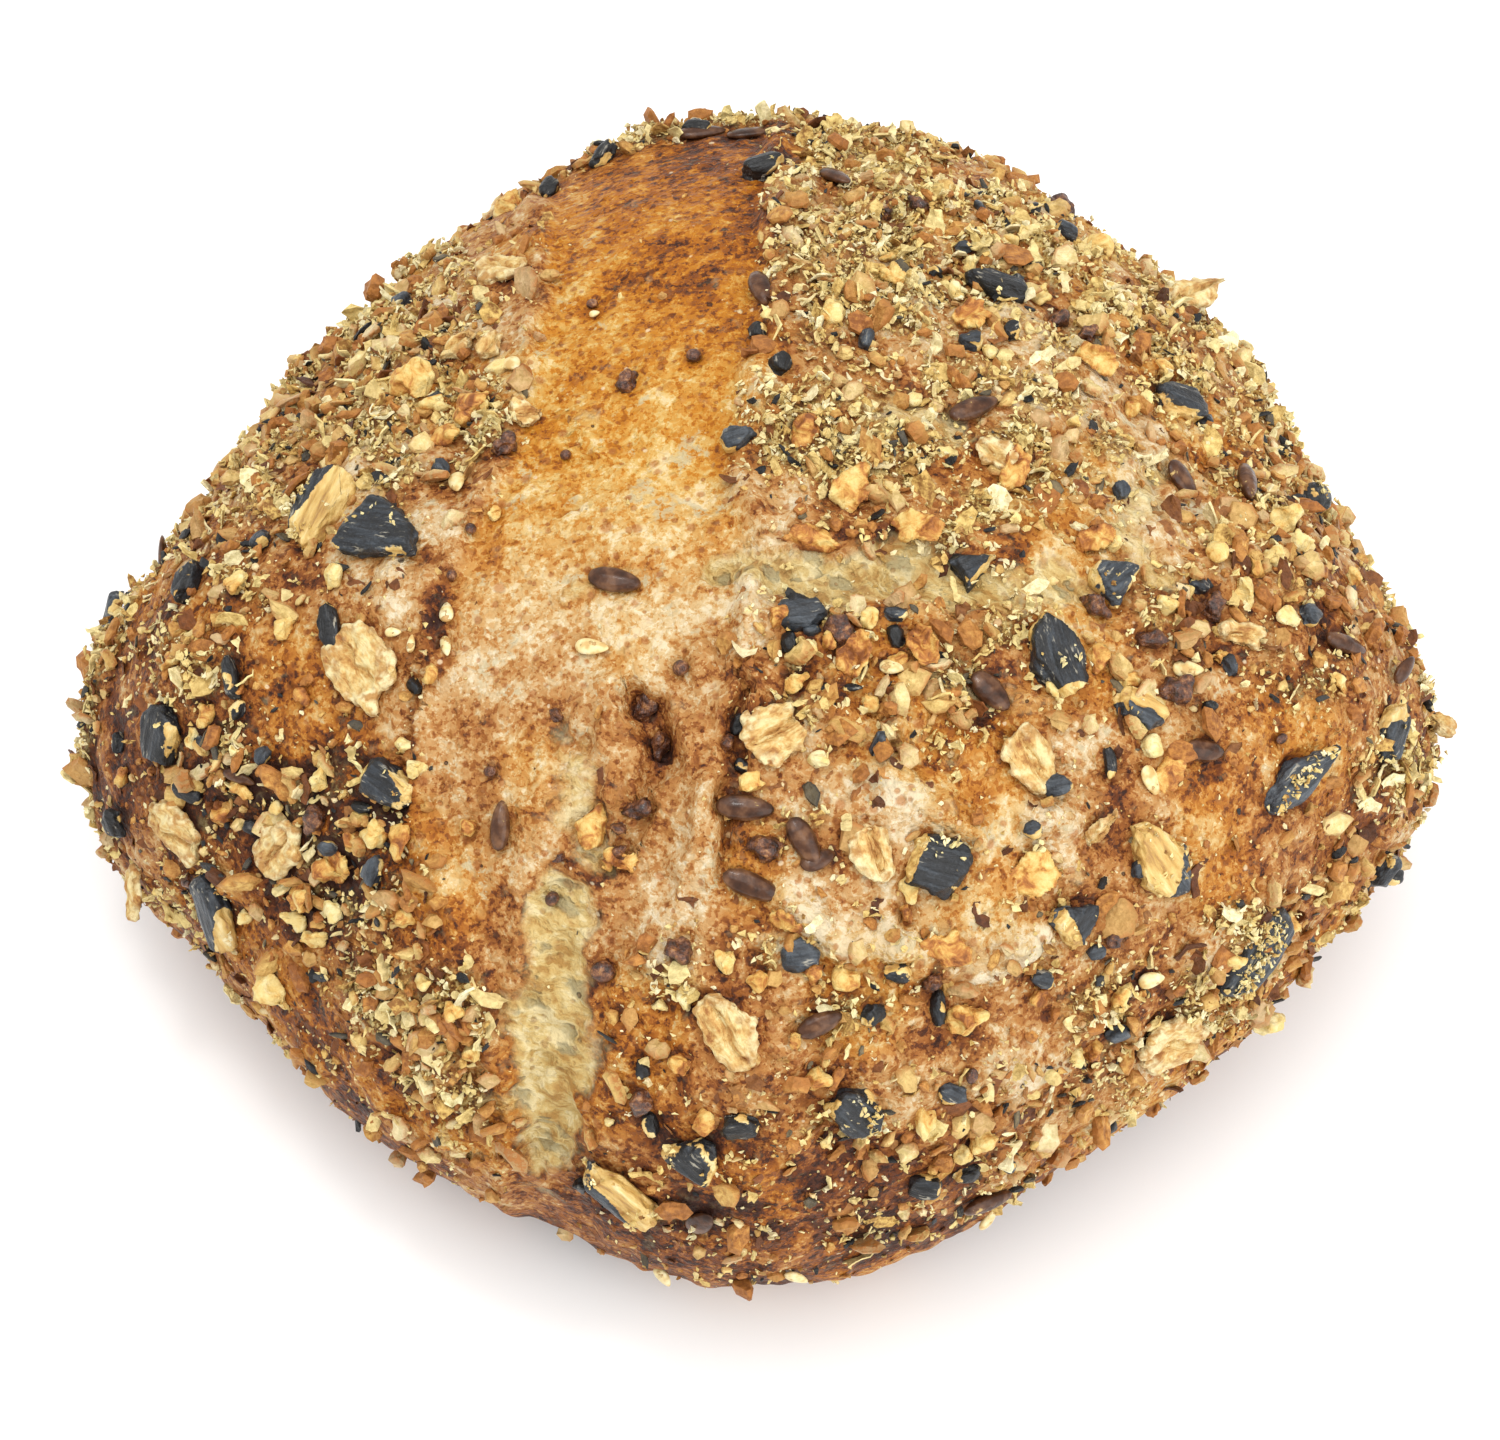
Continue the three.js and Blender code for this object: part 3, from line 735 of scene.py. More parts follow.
def finishSeed(name, piece, tone=None):
    kind = name.split("_")[0]
    number = sum((i + 1) * ord(letter) for i, letter in enumerate(name))
    draw = np.random.default_rng(number)
    points = pointsOf(piece.data)
    if kind in seeds["cuts"]:
        points = cutFlat(points, draw, *seeds["cuts"][kind])
        setPoints(piece.data, points)
    middle, along, across, out = localAxes(points)
    normals = normalsOf(piece.data)
    far = points - middle
    local = np.stack([far @ along, far @ across, far @ out], 1)
    size = local.max(0) - local.min(0)
    rim = smoothStep(0.85, 0.45, np.abs(normals @ out))
    right = rightOf(out)
    ahead = np.cross(out, right)
    if name in seeds["pointed"]:
        narrowing, drawnOut, rise = seeds["pointed"][name]
        narrowed = narrowing * smoothStep(0.0, 0.5, np.abs(local[:, 0]) / size[0])
        points = points - across * (local[:, 1] * narrowed)[:, None]
        points = points - out * (0.5 * local[:, 2] * narrowed)[:, None]
        points = points + along * (drawnOut * np.maximum(local[:, 0], 0))[:, None] + out * rise
    wobble = layeredNoise(points, 1.6, number)
    fine = softNoise(points, 0.55, number + 4)

    def sideTowards(facing, over, roughness):   # how far each point lies past a ragged line across the piece
        turn = math.radians(facing)
        return (far @ right) * math.cos(turn) + (far @ ahead) * math.sin(turn) - over + roughness * wobble

    lift = np.zeros(len(points))
    core = np.zeros(len(points))
    if kind == "pumpkin":
        groove = np.sin(local[:, 1] * 2 * math.pi / seeds["ribSpacing"] + 0.9 * wobble)
        lift += 0.035 * groove * (1 - rim) + 0.04 * wobble + 0.1 * softNoise(points, 2.6, number + 1)
        lift += rim * (0.16 * fine + 0.2 * softNoise(points, 1.2, number + 5)) + 0.02 * fine
        lift += 0.12 * (1 - (2 * local[:, 1] / size[1]) ** 2) * (local[:, 2] > 0)
        core = 0.8 * rim * smoothStep(0.15, 0.5, wobble)
        if name in seeds["splits"]:
            side = sideTowards(*seeds["splits"][name], 0.35)
            core = np.maximum(core, smoothStep(-0.15, 0.15, side))
            lift -= 0.25 * smoothStep(-0.1, 0.2, side)
    elif kind == "oat":
        crease = bell(local[:, 1] + 0.35 * wobble, 0.25) * smoothStep(0.5, 0.3, np.abs(local[:, 0] / size[0]))
        lift += 0.26 * wobble - 0.6 * crease + 0.26 * softNoise(points, 2.2, number)
        lift += rim * (0.4 * softNoise(points, 0.8, number + 5) + 0.3 * wobble) + 0.12 * fine
        fromMiddle = np.hypot(2 * local[:, 0] / size[0], 2 * local[:, 1] / size[1])
        core = smoothStep(0.55, 1.0, fromMiddle + 0.3 * wobble)
    elif kind in seeds["lumps"]:
        lift += seeds["lumps"][kind] * wobble + 0.2 * fine + 0.46 * rim * softNoise(points, 0.9, number + 6)
        core = smoothStep(-0.2, 0.5, wobble)
    else:   # a smooth seed
        lift += 0.02 * wobble
    setPoints(piece.data, points + normals * lift[:, None])
    dusted = seeds["dusting"] * smoothStep(0.2, 0.45, wobble)
    if name in seeds["caked"]:
        facing, over, halfWidth = seeds["caked"][name]
        band = np.abs(sideTowards(facing, over, 0.5)) - halfWidth
        dusted = np.maximum(dusted, smoothStep(0.3, -0.2, band))
    setAttributes(piece.data, {
        "grain": local,
        "core": core,
        "tone": np.full(len(points), draw.uniform() if tone is None else tone),
        "dusted": smoothStep(0.1, 0.6, normals @ out) * dusted,
    })
    smoothFaces(piece.data)


def settle(piece, sink):   # slides a seated piece along its own outward axis, so that it is bedded but shows
    points = pointsOf(piece.data)
    middle, _, _, out = localAxes(points)
    spot, _, _, _ = crustTree.ray_cast(Vector((middle + 12 * out).tolist()), Vector((-out).tolist()))
    if spot is not None:
        above = (middle - np.array(spot)) @ out
        setPoints(piece.data, points + out * np.clip(sink - above, -0.5, 0.8))


def makeSeeds():
    made = []
    for node in sorted(set(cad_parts) - {"roll"}):
        kind, number = node.rsplit("_", 1)
        first, second = kind.split("_")
        piece = remeshed(first + second.capitalize() + number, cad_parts[node], seeds["voxel"])
        settle(piece, seeds["kinds"][kind][1])
        finishSeed(node, piece)
        made.append((node, kind, piece))
    return made


seedPieces = makeSeeds()
print("seeds shaped:", len(seedPieces))


# ---- smaller whole pieces, which stand for no CAD node
loose = {
    # for each shape: thickness, and size of the voxels it is made of, or none for a smooth seed
    "shapes": {"grain": (1.3, 0.19), "peel": (0.5, 0.15), "pumpkin": (1.0, 0.15), "oat": (0.9, 0.16),
               "toffee": (1.2, 0.17), "flax": (1.1, None), "sesame": (0.9, None), "round": (1.1, None)},
    "tapers": {"flax": 0.35, "sesame": 0.5, "round": 0.0},   # how much narrower one end is
    "cupping": 1.1,
    # shape, tone from dark to pale, piece it belongs to
    "kinds": {"black": ("pumpkin", 0.1, "looseHulls"), "slate": ("pumpkin", 0.95, "looseHulls"),
              "toffee": ("toffee", 0.5, "glazedLumps"), "amber": ("grain", 0.0, "looseGrains"),
              "kernel": ("grain", 0.55, "looseGrains"), "peel": ("peel", 0.1, "looseGrains"),
              "cream": ("grain", 1.0, "looseGrains"), "oat": ("oat", 0.7, "looseOats"),
              "flax": ("flax", 0.5, "looseFlax"), "sesame": ("sesame", 0.5, "sesameSeeds"),
              "round": ("round", 0.5, "roundSeeds")},
    # on the side away from the layout: how many, and the shortest and longest in millimetres
    "back": {"black": (8, 3.0, 8.5), "slate": (6, 2.5, 7.0), "flax": (8, 3.8, 5.0), "oat": (6, 4.0, 7.5),
             "kernel": (8, 2.0, 5.0), "cream": (8, 1.8, 4.5), "amber": (6, 1.8, 4.0), "toffee": (6, 1.6, 3.2),
             "sesame": (8, 2.4, 3.1), "round": (5, 0.9, 1.3)},
    "apart": 4.6,   # millimetres between those
    "draw": 5,
}
# for each kind, rows of u, v, length, width, turn in degrees and, where it stands up, lean in degrees
looseRows = {
    "black": [(-12.6, 48.7, 4.6, 2.2, 40, 10), (-17.4, 46.1, 3.2, 2, 70), (-4.3, 51.3, 3.4, 2.2, -20),
              (-0.9, -35.2, 4.2, 3.2, 30), (15.2, -40.3, 3.4, 3, 0, 10), (-48.7, -6.1, 3, 2.4, 0),
              (54.8, -13, 3.6, 1.6, -30, 40), (-36.4, 7.8, 5.4, 1.9, 96, 5), (10.6, -25.6, 2.2, 1.9, 20),
              (-55, -8.8, 3.5, 2.3, 95, 15), (-54.7, -2, 2, 1.1, 90), (-43.2, -9.2, 1.6, 1.5, 0),
              (-33.7, -7.7, 2.6, 1.2, -10), (-44.8, 3.4, 4.6, 1.3, 98, 10), (-44.4, 0.9, 2.2, 1.2, 80),
              (4.2, 9.9, 3.2, 2.2, 0), (3.3, 6.7, 2.2, 1.8, 90), (8.9, 2.8, 1.8, 0.7, 5),
              (-0.6, -4.1, 2.2, 1.2, -20), (-1.2, -0.6, 2, 1.3, 70), (22.6, 33.7, 2.3, 2.1, 40),
              (12.7, -21.9, 3, 2, 0), (16.3, -25.1, 3.8, 1.3, 95), (31, -35, 1.9, 1.8, 0, 10),
              (18.8, -39.4, 3, 2, -10), (-2.2, -21.2, 1.5, 1, 60), (-9.4, -30.3, 2.2, 1.2, -70),
              (-14.7, -40.3, 2, 1.4, 80), (-8.6, -35, 2.4, 1.4, -75), (31.3, -3.7, 2.8, 1, 100),
              (40, 1.3, 1.4, 1.2, 30), (2.6, 31, 2.6, 1.6, 75), (0.9, 33.6, 2.2, 1.8, 90),
              (16, 39, 1.3, 1.1, 0), (24.7, 44.3, 1.8, 0.9, 40), (-29.3, 2.8, 2, 1.1, -60),
              (12.7, 7.3, 2.3, 1.9, -50), (-24.6, 26.2, 2.2, 1, -10)],
    "slate": [(-1.3, 24.5, 3.7, 2, 15), (17.5, -32.5, 4, 2, -35), (4.3, -20.4, 4, 3.4, 0),
              (32.2, 20, 2, 2, 0), (-32.7, -13, 3, 2, 80), (34.2, -12.7, 3, 1.6, 20),
              (24.6, -9.6, 2.2, 1.8, -20), (-36.5, -11.2, 1.8, 1.6, 0), (48.5, 9.2, 2.6, 2.4, 30),
              (-42.3, -3, 2.1, 1.7, 60), (-47.5, -2.2, 2.5, 1.1, -45), (5.4, 7.8, 1.8, 1.1, 0),
              (12.6, 9.1, 2.1, 1.4, -10), (11, -2, 3.1, 1.3, 65), (23.2, 38, 1.7, 1.3, 70, 20),
              (19.3, 32.8, 2.3, 2, 20), (27.4, 42.6, 2.9, 1.7, -10), (20, 44.6, 2, 0.9, -60),
              (18.7, 41.1, 1.9, 1.1, 15), (10, 32.9, 2.7, 1.6, 80), (27.1, -17.3, 3.4, 2.8, 10),
              (25.3, -22.3, 2.7, 2.1, 0), (30.1, -20.1, 1.7, 1.4, 0), (31.9, -27.1, 2.5, 1.9, 0),
              (22.3, -38.7, 1.6, 1.4, 30), (26.7, -5.7, 2.9, 1.7, 20), (41.6, 4.7, 2.7, 1.4, -50),
              (38.9, 11.6, 2.5, 1.3, 0), (-26.9, 21.8, 2.3, 1.5, -60), (-30.2, 36.2, 2.6, 1.6, 50),
              (39.5, 26, 2.2, 1.3, -30), (-42.5, 15.5, 2.6, 1.8, 60)],
    "toffee": [(-9.2, 1, 3.8, 2.8, 60), (-7.9, -2.4, 2.4, 1.7, 70), (-9.4, -7.6, 3, 1.8, 30),
               (-11.4, -9.2, 2, 1.4, 0), (-10.6, 29.3, 3.1, 2.4, 80), (-17, 0.4, 1.6, 1.2, 80),
               (-6.4, -20.1, 2.8, 2.6, 0), (37.1, 2.4, 3, 2.8, 0), (34.9, 7.1, 4, 1.7, 5),
               (40.3, 9.7, 2.4, 2.2, 0), (29.5, 33.2, 2.5, 1.9, 70), (27.1, 44.4, 2.8, 2.2, 0, 10),
               (14.8, 44.9, 2.5, 1.2, -20), (11.8, 44, 1.6, 1.3, 0), (26.8, 34.7, 2.9, 1.2, 50),
               (7.7, 7.6, 3.2, 2.4, 80), (-37.6, -8.8, 3, 2.4, 20), (30, 10.2, 3.6, 1.5, -50),
               (16.1, -22.7, 2.4, 1.3, 0), (31.5, -19.3, 1.8, 1.5, 0), (-9.4, -33.1, 2.8, 2.2, 90),
               (-48.5, -14.3, 4, 2, 85), (-21.4, 23.7, 3, 2, 10), (-11.6, -11.6, 2.4, 1.4, 70),
               (1.6, -11.4, 3, 2.6, 30), (-16.6, -12, 1.4, 1, 0), (-2.1, -2, 1.9, 1.3, 80)],
    "amber": [(-54.5, -4.7, 2.6, 1.3, 80), (-52, -4.5, 2, 0.9, -20), (-45.7, -8.5, 3.4, 2.4, -70),
              (-34.7, -10.7, 2.4, 2, 0), (-36.6, -13.2, 4.4, 2.2, 25), (-39.2, -15.8, 5.6, 2, 10),
              (-44.3, 2.5, 1.4, 1, 80), (-24.8, 30.5, 1.9, 1.3, 50), (-24.5, -9.4, 2.2, 1.4, -20),
              (-38.8, 2.1, 1.7, 1.6, 0), (-28, 4, 1.2, 1.1, 0), (-5.7, -29.9, 2.4, 2, 90),
              (-4, -34.9, 2.6, 2.2, -30), (5.5, -21.8, 4.4, 2, 65), (2.4, 9.1, 3.2, 1.8, 60),
              (12.9, 5.4, 2.3, 1.4, -20), (29.7, -28.7, 3.2, 2.1, 25), (25.2, -23.7, 2.3, 1.8, 0),
              (6.8, 6.9, 1.7, 1.5, 0), (41.7, -27.3, 1.6, 1.4, 0, 10), (39.3, -29.7, 1.6, 1.3, 0, 10),
              (38.7, -31.3, 1.9, 1.4, -60, 10), (-12.4, -12.6, 2.2, 1.3, -10), (5.5, -31, 2.8, 2, 10),
              (33, 27, 2.4, 1.6, 30), (13.4, -17.2, 2.2, 1.4, 70), (30.2, 4.8, 3.4, 1.6, -50)],
    "kernel": [(-32.6, -10, 3.6, 3.2, 10), (-38.3, -18.9, 4.4, 2.4, 10), (7.1, 35.6, 3.4, 3, 0),
               (-21, 44.6, 4.4, 3, 0), (-23.9, 27.2, 5, 3, 0), (20.4, -36.5, 3.4, 2.8, 0),
               (-22.4, 17.8, 1.7, 1.4, 0), (3.9, -27.8, 2.1, 1.7, 0), (40.6, 5.6, 2.4, 1.5, -30),
               (-36.2, 12.4, 2.9, 1.7, 70), (-40.6, 8.0, 3.4, 1.8, 55), (-50.2, 5.3, 3.4, 1.7, 40),
               (-47.2, 1, 4.2, 1.9, 85), (-44, -6.2, 3.8, 1.8, -35), (-45, 11.7, 3.6, 2.1, 72),
               (-37.3, -5.4, 2.6, 2, 80), (18.7, -25.9, 3.6, 3, 0), (32.5, -23.9, 4.6, 3, 100),
               (15.3, -35, 4.2, 3.2, 60), (25.3, -36.3, 2.6, 1.8, -80), (-27.2, 27.5, 3, 2.8, 0),
               (44.2, 13, 4.4, 1.7, -60), (40.5, 14.3, 2.3, 1.8, 0), (36.3, 9.8, 3, 2.6, 10),
               (10.3, 8.4, 4, 1.7, 85), (4.2, 3.3, 2.9, 1.9, 20), (10.5, 1.5, 3.4, 1.7, 75),
               (28.3, 25.9, 1.8, 1.5, 0), (30.2, 41.3, 3, 1.8, -10), (23.5, 43, 3.2, 1.4, 5),
               (22.9, 41.7, 2.2, 1.4, 10), (0.8, -22.8, 2.4, 1.9, 0), (8.5, -22.8, 2.1, 1.9, 0),
               (0, -5.4, 3.4, 1.9, 10), (25.3, 37, 3, 2.1, 70), (26.5, 2.3, 1.7, 1.4, 0),
               (32.9, 3.2, 4, 1.6, 5), (46.8, -17.6, 3, 2, 40), (42, -20.5, 2.6, 1.8, 0),
               (51, 3, 3.2, 2, -40), (52.5, 12, 2.8, 1.8, -50), (36, 30.5, 3, 1.8, -30),
               (-34, 30, 3.2, 2.2, 40), (-38, 20.5, 3, 2, 50), (-30.5, -17.5, 3, 2, 20),
               (-26, -25.5, 2.8, 2, 0), (-24, -29, 2.4, 1.6, 60), (12, 40, 2.4, 1.8, 20)],
    "cream": [(48, 15.4, 4.8, 3.5, 10), (42.9, 11.3, 4.2, 2.8, -75), (45.5, 13.9, 3, 2.3, -70),
              (46.6, 9, 2.2, 1.9, 60), (-39.4, -17.3, 4.6, 1.2, 8), (-35.9, -16.7, 2.3, 1.8, 0),
              (-48.5, -1.7, 2.3, 1.4, -80), (-41.2, -7.5, 2.1, 1, 15), (-30.3, -2.3, 2.9, 1.3, 35),
              (-29.1, -4.5, 2.1, 2, 0), (-22, 30.4, 2, 1.6, 50), (-5.7, -23.9, 3.1, 2.1, 65),
              (-8.1, -24.5, 2.6, 1.1, -5), (-2.1, -20.7, 3.2, 2.1, 70), (-12.1, -34.7, 2.3, 1.1, -60),
              (6.4, -36.5, 4, 1.1, 95, 10), (-13.8, -38.6, 2.7, 1, -35), (-0.4, -26.9, 1.7, 1.3, 60),
              (13.8, -14.4, 3.2, 1.7, 70), (28.1, -29.5, 3, 1.3, 5), (28.7, -36.4, 1.9, 1.5, 60),
              (35.2, -2.4, 3.4, 1.8, -10), (19.3, 39.8, 2.3, 2.1, 0), (18.1, 36.7, 2, 1.8, 60),
              (20.6, 32.3, 1.9, 1.7, 0), (24.4, 34, 1.4, 1.3, 0), (5.1, 6.4, 1.9, 1.6, 60),
              (6.3, -3.5, 2, 1.6, -20), (35.1, -26.3, 3.1, 1.1, 45, 10), (-7.2, -2.4, 1.5, 1, 60),
              (18.6, -38, 2.6, 2, -20), (-28.5, -22.5, 3, 2, 30), (-44, -17, 2.4, 1.2, 40),
              (31.5, 15.5, 2.2, 1.5, 30), (14.5, 28, 1.8, 1.2, 0), (9, 27, 2, 1.4, 60)],
    "peel": [(9, 19.5, 5, 3.4, 60, 25), (14.5, 16.5, 5.5, 3.2, -20, 20), (22.5, 21.5, 4.5, 3, 80, 30),
             (5.4, 15.6, 6.4, 2.6, -10, 8), (4.5, 25, 4, 2.8, 70, 20), (29.5, 15.5, 4, 2.6, 30, 20),
             (9, 5.5, 4.4, 3, 50, 30), (15, 6.5, 4.6, 3, -60, 25), (-39, -15.4, 5.6, 2.8, 10, 15),
             (-36, -12.8, 5, 3, 25, 20), (-30.5, -10.5, 4, 2.6, -50, 20), (-13.8, -9.5, 4.4, 2.6, 80, 10),
             (-11.4, -12.6, 3.4, 2.2, -20, 15), (2.8, -17.5, 4, 2.6, 40, 20), (17, -20, 5, 3.4, -30, 8),
             (24.5, -13.5, 5.6, 4, 30, 6), (19, 35, 4, 2.8, 30, 20), (12, 38.5, 3.6, 2.4, -50, 20),
             (30, 31.5, 4.4, 2.8, -20, 25), (-27, 24.5, 4, 2.6, 20, 15), (36.5, -5, 4.2, 2.8, 60, 12)],
    "oat": [(-52.8, -14.4, 5, 2.8, -40, 30), (21.3, 23, 4.8, 2.6, -40, 10), (30, -9.2, 4.8, 1.5, 55, 20),
            (59.1, -0.2, 4.4, 2, -40, 30), (-19.7, 26.4, 3.6, 3.2, 20, 5), (-25.6, 32.3, 4.4, 2, 30, 10),
            (-22.4, 32.2, 3.8, 1.6, 52, 15), (42.7, 7.4, 4, 2.4, 0), (37.2, -27.8, 3.4, 2.2, 20)],
    "flax": [(-4.2, -43.5, 3.6, 2.2, 55), (37.6, 20.8, 4, 2.3, -40), (0.4, 51, 5, 2.2, 8),
             (-4.2, 51, 4.4, 1.8, 5), (27.1, 44.2, 3.6, 2.2, -30), (56.2, 4.2, 3, 1.6, 70, 30),
             (7.4, 47, 3.6, 2, -50), (-44.4, -4.9, 2.9, 1.2, -14), (5.9, -12.2, 3, 1.9, 25)],
    "sesame": [(38.1, 4.4, 2.9, 1.6, 5), (20.7, -43.3, 2.8, 1.7, 60), (23.9, -41.7, 2.8, 1.7, -30),
               (34.8, -5.3, 2.8, 1.6, -60), (-13.7, 6.3, 2.8, 1.5, -10), (-25.4, 20.5, 2.4, 1.6, -80),
               (-20.6, 30.8, 2, 1.7, -60), (-26.4, 9.3, 2, 1.3, 90), (-26.4, 6.3, 2.4, 1.0, -80),
               (-7.4, -48, 2.6, 1.6, -60, 20), (4, -48, 2.6, 1.6, -50, 20), (12.4, 4.5, 2.3, 1.4, 5),
               (-13.5, 35.3, 0.9, 0.7, 0), (34.8, -22.5, 2.3, 1.7, 0), (-31, 7.6, 1.4, 0.9, 0),
               (-29.4, 6.6, 1.5, 0.8, 80)],
    "round": [(-5.9, 4.5, 1.4, 1.3, 0), (-4.9, 31.6, 1.3, 1.2, 0), (-13.7, 36.1, 1, 0.9, 0),
              (-16, 23, 0.9, 0.9, 0), (-24.4, 16.6, 1, 0.9, 0), (-12.8, -21.9, 2, 1.7, 0),
              (-26, 12.6, 0.9, 0.9, 0), (19.3, -30.9, 1.4, 1, 80), (46.1, -1.6, 1.2, 0.9, 20),
              (-17.2, -15.6, 1.3, 1.1, 60), (-22.5, -4.5, 1.2, 1, 0)],
}


def slabPoints(length, width, thickness, draw, sides=9):   # a closed slab with an uneven outline, +Z out
    turns = np.linspace(0, 2 * math.pi, sides, endpoint=False) + draw.uniform(-0.2, 0.2, sides)
    reach = draw.uniform(0.72, 1.05, sides)
    ring = np.stack([np.cos(turns) * reach * length / 2, np.sin(turns) * reach * width / 2], 1)
    top = np.column_stack([ring * draw.uniform(0.75, 0.95), draw.uniform(0.3, 0.6, sides) * thickness])
    low = np.column_stack([ring, draw.uniform(-0.6, -0.4, sides) * thickness])
    points = np.concatenate([top, low, [[0, 0, 0.6 * thickness], [0, 0, -0.6 * thickness]]])
    return points, cappedFaces(sides, 2)


def cappedFaces(sides, rings):   # rings of points from the top down, then the middle of each end
    faces = []
    for i in range(sides):
        j = (i + 1) % sides
        faces.append([i, j, rings * sides])
        for ring in range(rings - 1):
            upper, lower = ring * sides, (ring + 1) * sides
            faces.append([i + lower, j + lower, j + upper, i + upper])
        faces.append([j + lower, i + lower, rings * sides + 1])
    return faces


def teardropPoints(length, width, thickness, taper):   # a smooth seed along X
    shell = bmesh.new()
    bmesh.ops.create_uvsphere(shell, u_segments=20, v_segments=12, radius=0.5)
    points = np.array([tuple(vert.co) for vert in shell.verts])
    faces = []
    for face in shell.faces:
        corners = [vert.index for vert in face.verts]
        first = corners.index(min(corners))
        faces.append(corners[first:] + corners[:first])
    shell.free()
    narrow = 1 - taper * (points[:, 2] + 0.5)
    shape = [points[:, 2] * length, points[:, 0] * width * narrow, points[:, 1] * thickness * narrow]
    return np.stack(shape, 1), sorted(faces)   # the sphere's own order of faces changes from run to run


def placePiece(name, shape, tone, spot, out, length, width, turn, lean, draw):
    right = rightOf(out, 0.3)
    ahead = np.cross(out, right)
    turn, lean = math.radians(turn), math.radians(lean)
    along = right * math.cos(turn) + ahead * math.sin(turn)
    across = np.cross(out, along)
    tipped = along * math.cos(lean) + out * math.sin(lean)
    raised = np.cross(tipped, across)
    thickness, voxel = loose["shapes"][shape]
    thickness = min(thickness, 0.8 * width)
    if voxel is None:
        taper = loose["tapers"][shape]
        points, faces = teardropPoints(length, width * (1 + 0.3 * taper), thickness, taper)
    else:
        points, faces = slabPoints(length, width, thickness, draw)
        if shape == "peel":   # cupped like a bit of shell
            points[:, 2] += loose["cupping"] * (points[:, 1] / width * 2) ** 2 * draw.choice((-0.6, 1)) - 0.2
    middle = spot + out * (0.22 * thickness + 0.35 * length * math.sin(lean))
    points = middle + points[:, :1] * tipped + points[:, 1:2] * across + points[:, 2:] * raised
    points[:, 2] += max(0.4 - points[:, 2].min(), 0)   # clear of the floor
    piece = meshObject(name, points, faces)
    faceOutwards(piece.data)
    if voxel is not None:
        rough = piece
        piece = remeshed(name, rough, voxel)
        bpy.data.objects.remove(rough)
    finishSeed(shape + "_" + name, piece, tone)
    return piece


def backPlaces(draw):   # pieces on the side away from the layout, none too near another
    points = pointsOf(crust.data)
    ways = normalsOf(crust.data)
    ready = np.flatnonzero((attributeOf(crust.data, "back") > 0.3) & (points[:, 2] > 13))
    taken = []
    for kind, (count, shortest, longest) in loose["back"].items():
        for _ in range(count):
            for _ in range(40):
                i = int(draw.choice(ready))
                if all(np.linalg.norm(points[i] - other) > loose["apart"] for other in taken):
                    break
            taken.append(points[i])
            length = draw.uniform(shortest, longest)
            yield (kind, points[i], ways[i], length, length * draw.uniform(0.45, 0.75),
                   draw.uniform(0, 360), draw.uniform(-8, 12))


def makeLoose():
    draw = np.random.default_rng(loose["draw"])
    places = []
    for kind, rows in looseRows.items():
        for u, v, length, width, turn, *lean in rows:
            places.append((kind, *seatOn(u, v), length, width, turn, *(lean or [draw.uniform(-6, 6)])))
    places += backPlaces(draw)
    groups = {}
    for number, (kind, *place) in enumerate(places):
        shape, tone, group = loose["kinds"][kind]
        tone += draw.uniform(-0.15, 0.15)
        groups.setdefault(group, []).append(placePiece(f"{kind}{number}", shape, tone, *place, draw))
    return {group: joined(group, pieces) for group, pieces in groups.items()}


loosePieces = makeLoose()
print("loose seeds placed")


# ---- how near each point of the crust is to a seed, and the gap that the dough leaves round it
def markHalo():
    pieces = [piece for _, _, piece in seedPieces] + list(loosePieces.values())
    tree = nearestTree(np.concatenate([pointsOf(piece.data)[::4] for piece in pieces]))
    mesh = crust.data
    points = pointsOf(mesh)
    gap = np.array([tree.find(point)[2] for point in points])
    clear = smoothStep(0.1, 0.6, gap)
    setAttributes(mesh, {name: attributeOf(mesh, name) * clear for name in ("meal", "chop", "skin")})
    # next to a seed the crust is browned, and darkened further by a painted contact shadow
    setAttributes(mesh, {"halo": bell(gap, 0.6)})
    sunk = skin["seedGap"] * bell(gap, 0.55) * (0.7 + 0.6 * softNoise(points, 2, 51)) * (points[:, 2] > 4)
    setPoints(mesh, points - normalsOf(mesh) * sunk[:, None])


markHalo()
print("halo marked")


# ---- loose topping, scattered by one tree of geometry nodes
def finishedShape(name, points, faces):
    mesh = bpy.data.meshes.new(name)
    mesh.from_pydata(np.asarray(points).tolist(), [], [[int(k) for k in face] for face in faces])
    faceOutwards(mesh)
    mesh.polygons.foreach_set("use_smooth", np.zeros(len(mesh.polygons), bool))
    return mesh


def clumpShape(name, draw, lumps):   # angular lumps grown together, one unit long
    points, faces = [], []
    flatness = np.array([1, 0.8, 0.5])
    for _ in range(lumps):
        middle = draw.uniform(-0.26, 0.26, 3) * [1, 0.8, 0.45] * (lumps > 1)
        reach = draw.uniform(0.42, 0.62) if lumps > 1 else 1.0
        shell = bmesh.new()
        for _ in range(7):
            spot = draw.normal(size=3)
            spot *= 0.5 * reach * draw.uniform(0.75, 1.0) / np.linalg.norm(spot)
            shell.verts.new((middle + spot * flatness).tolist())
        hull = bmesh.ops.convex_hull(shell, input=shell.verts)
        unused = {g for g in hull["geom_interior"] + hull["geom_unused"] if isinstance(g, bmesh.types.BMVert)}
        bmesh.ops.delete(shell, geom=list(unused), context="VERTS")
        shell.verts.index_update()
        faces += [[vert.index + len(points) for vert in face.verts] for face in shell.faces]
        points += [tuple(vert.co) for vert in shell.verts]
        shell.free()
    return finishedShape(name, points, faces)


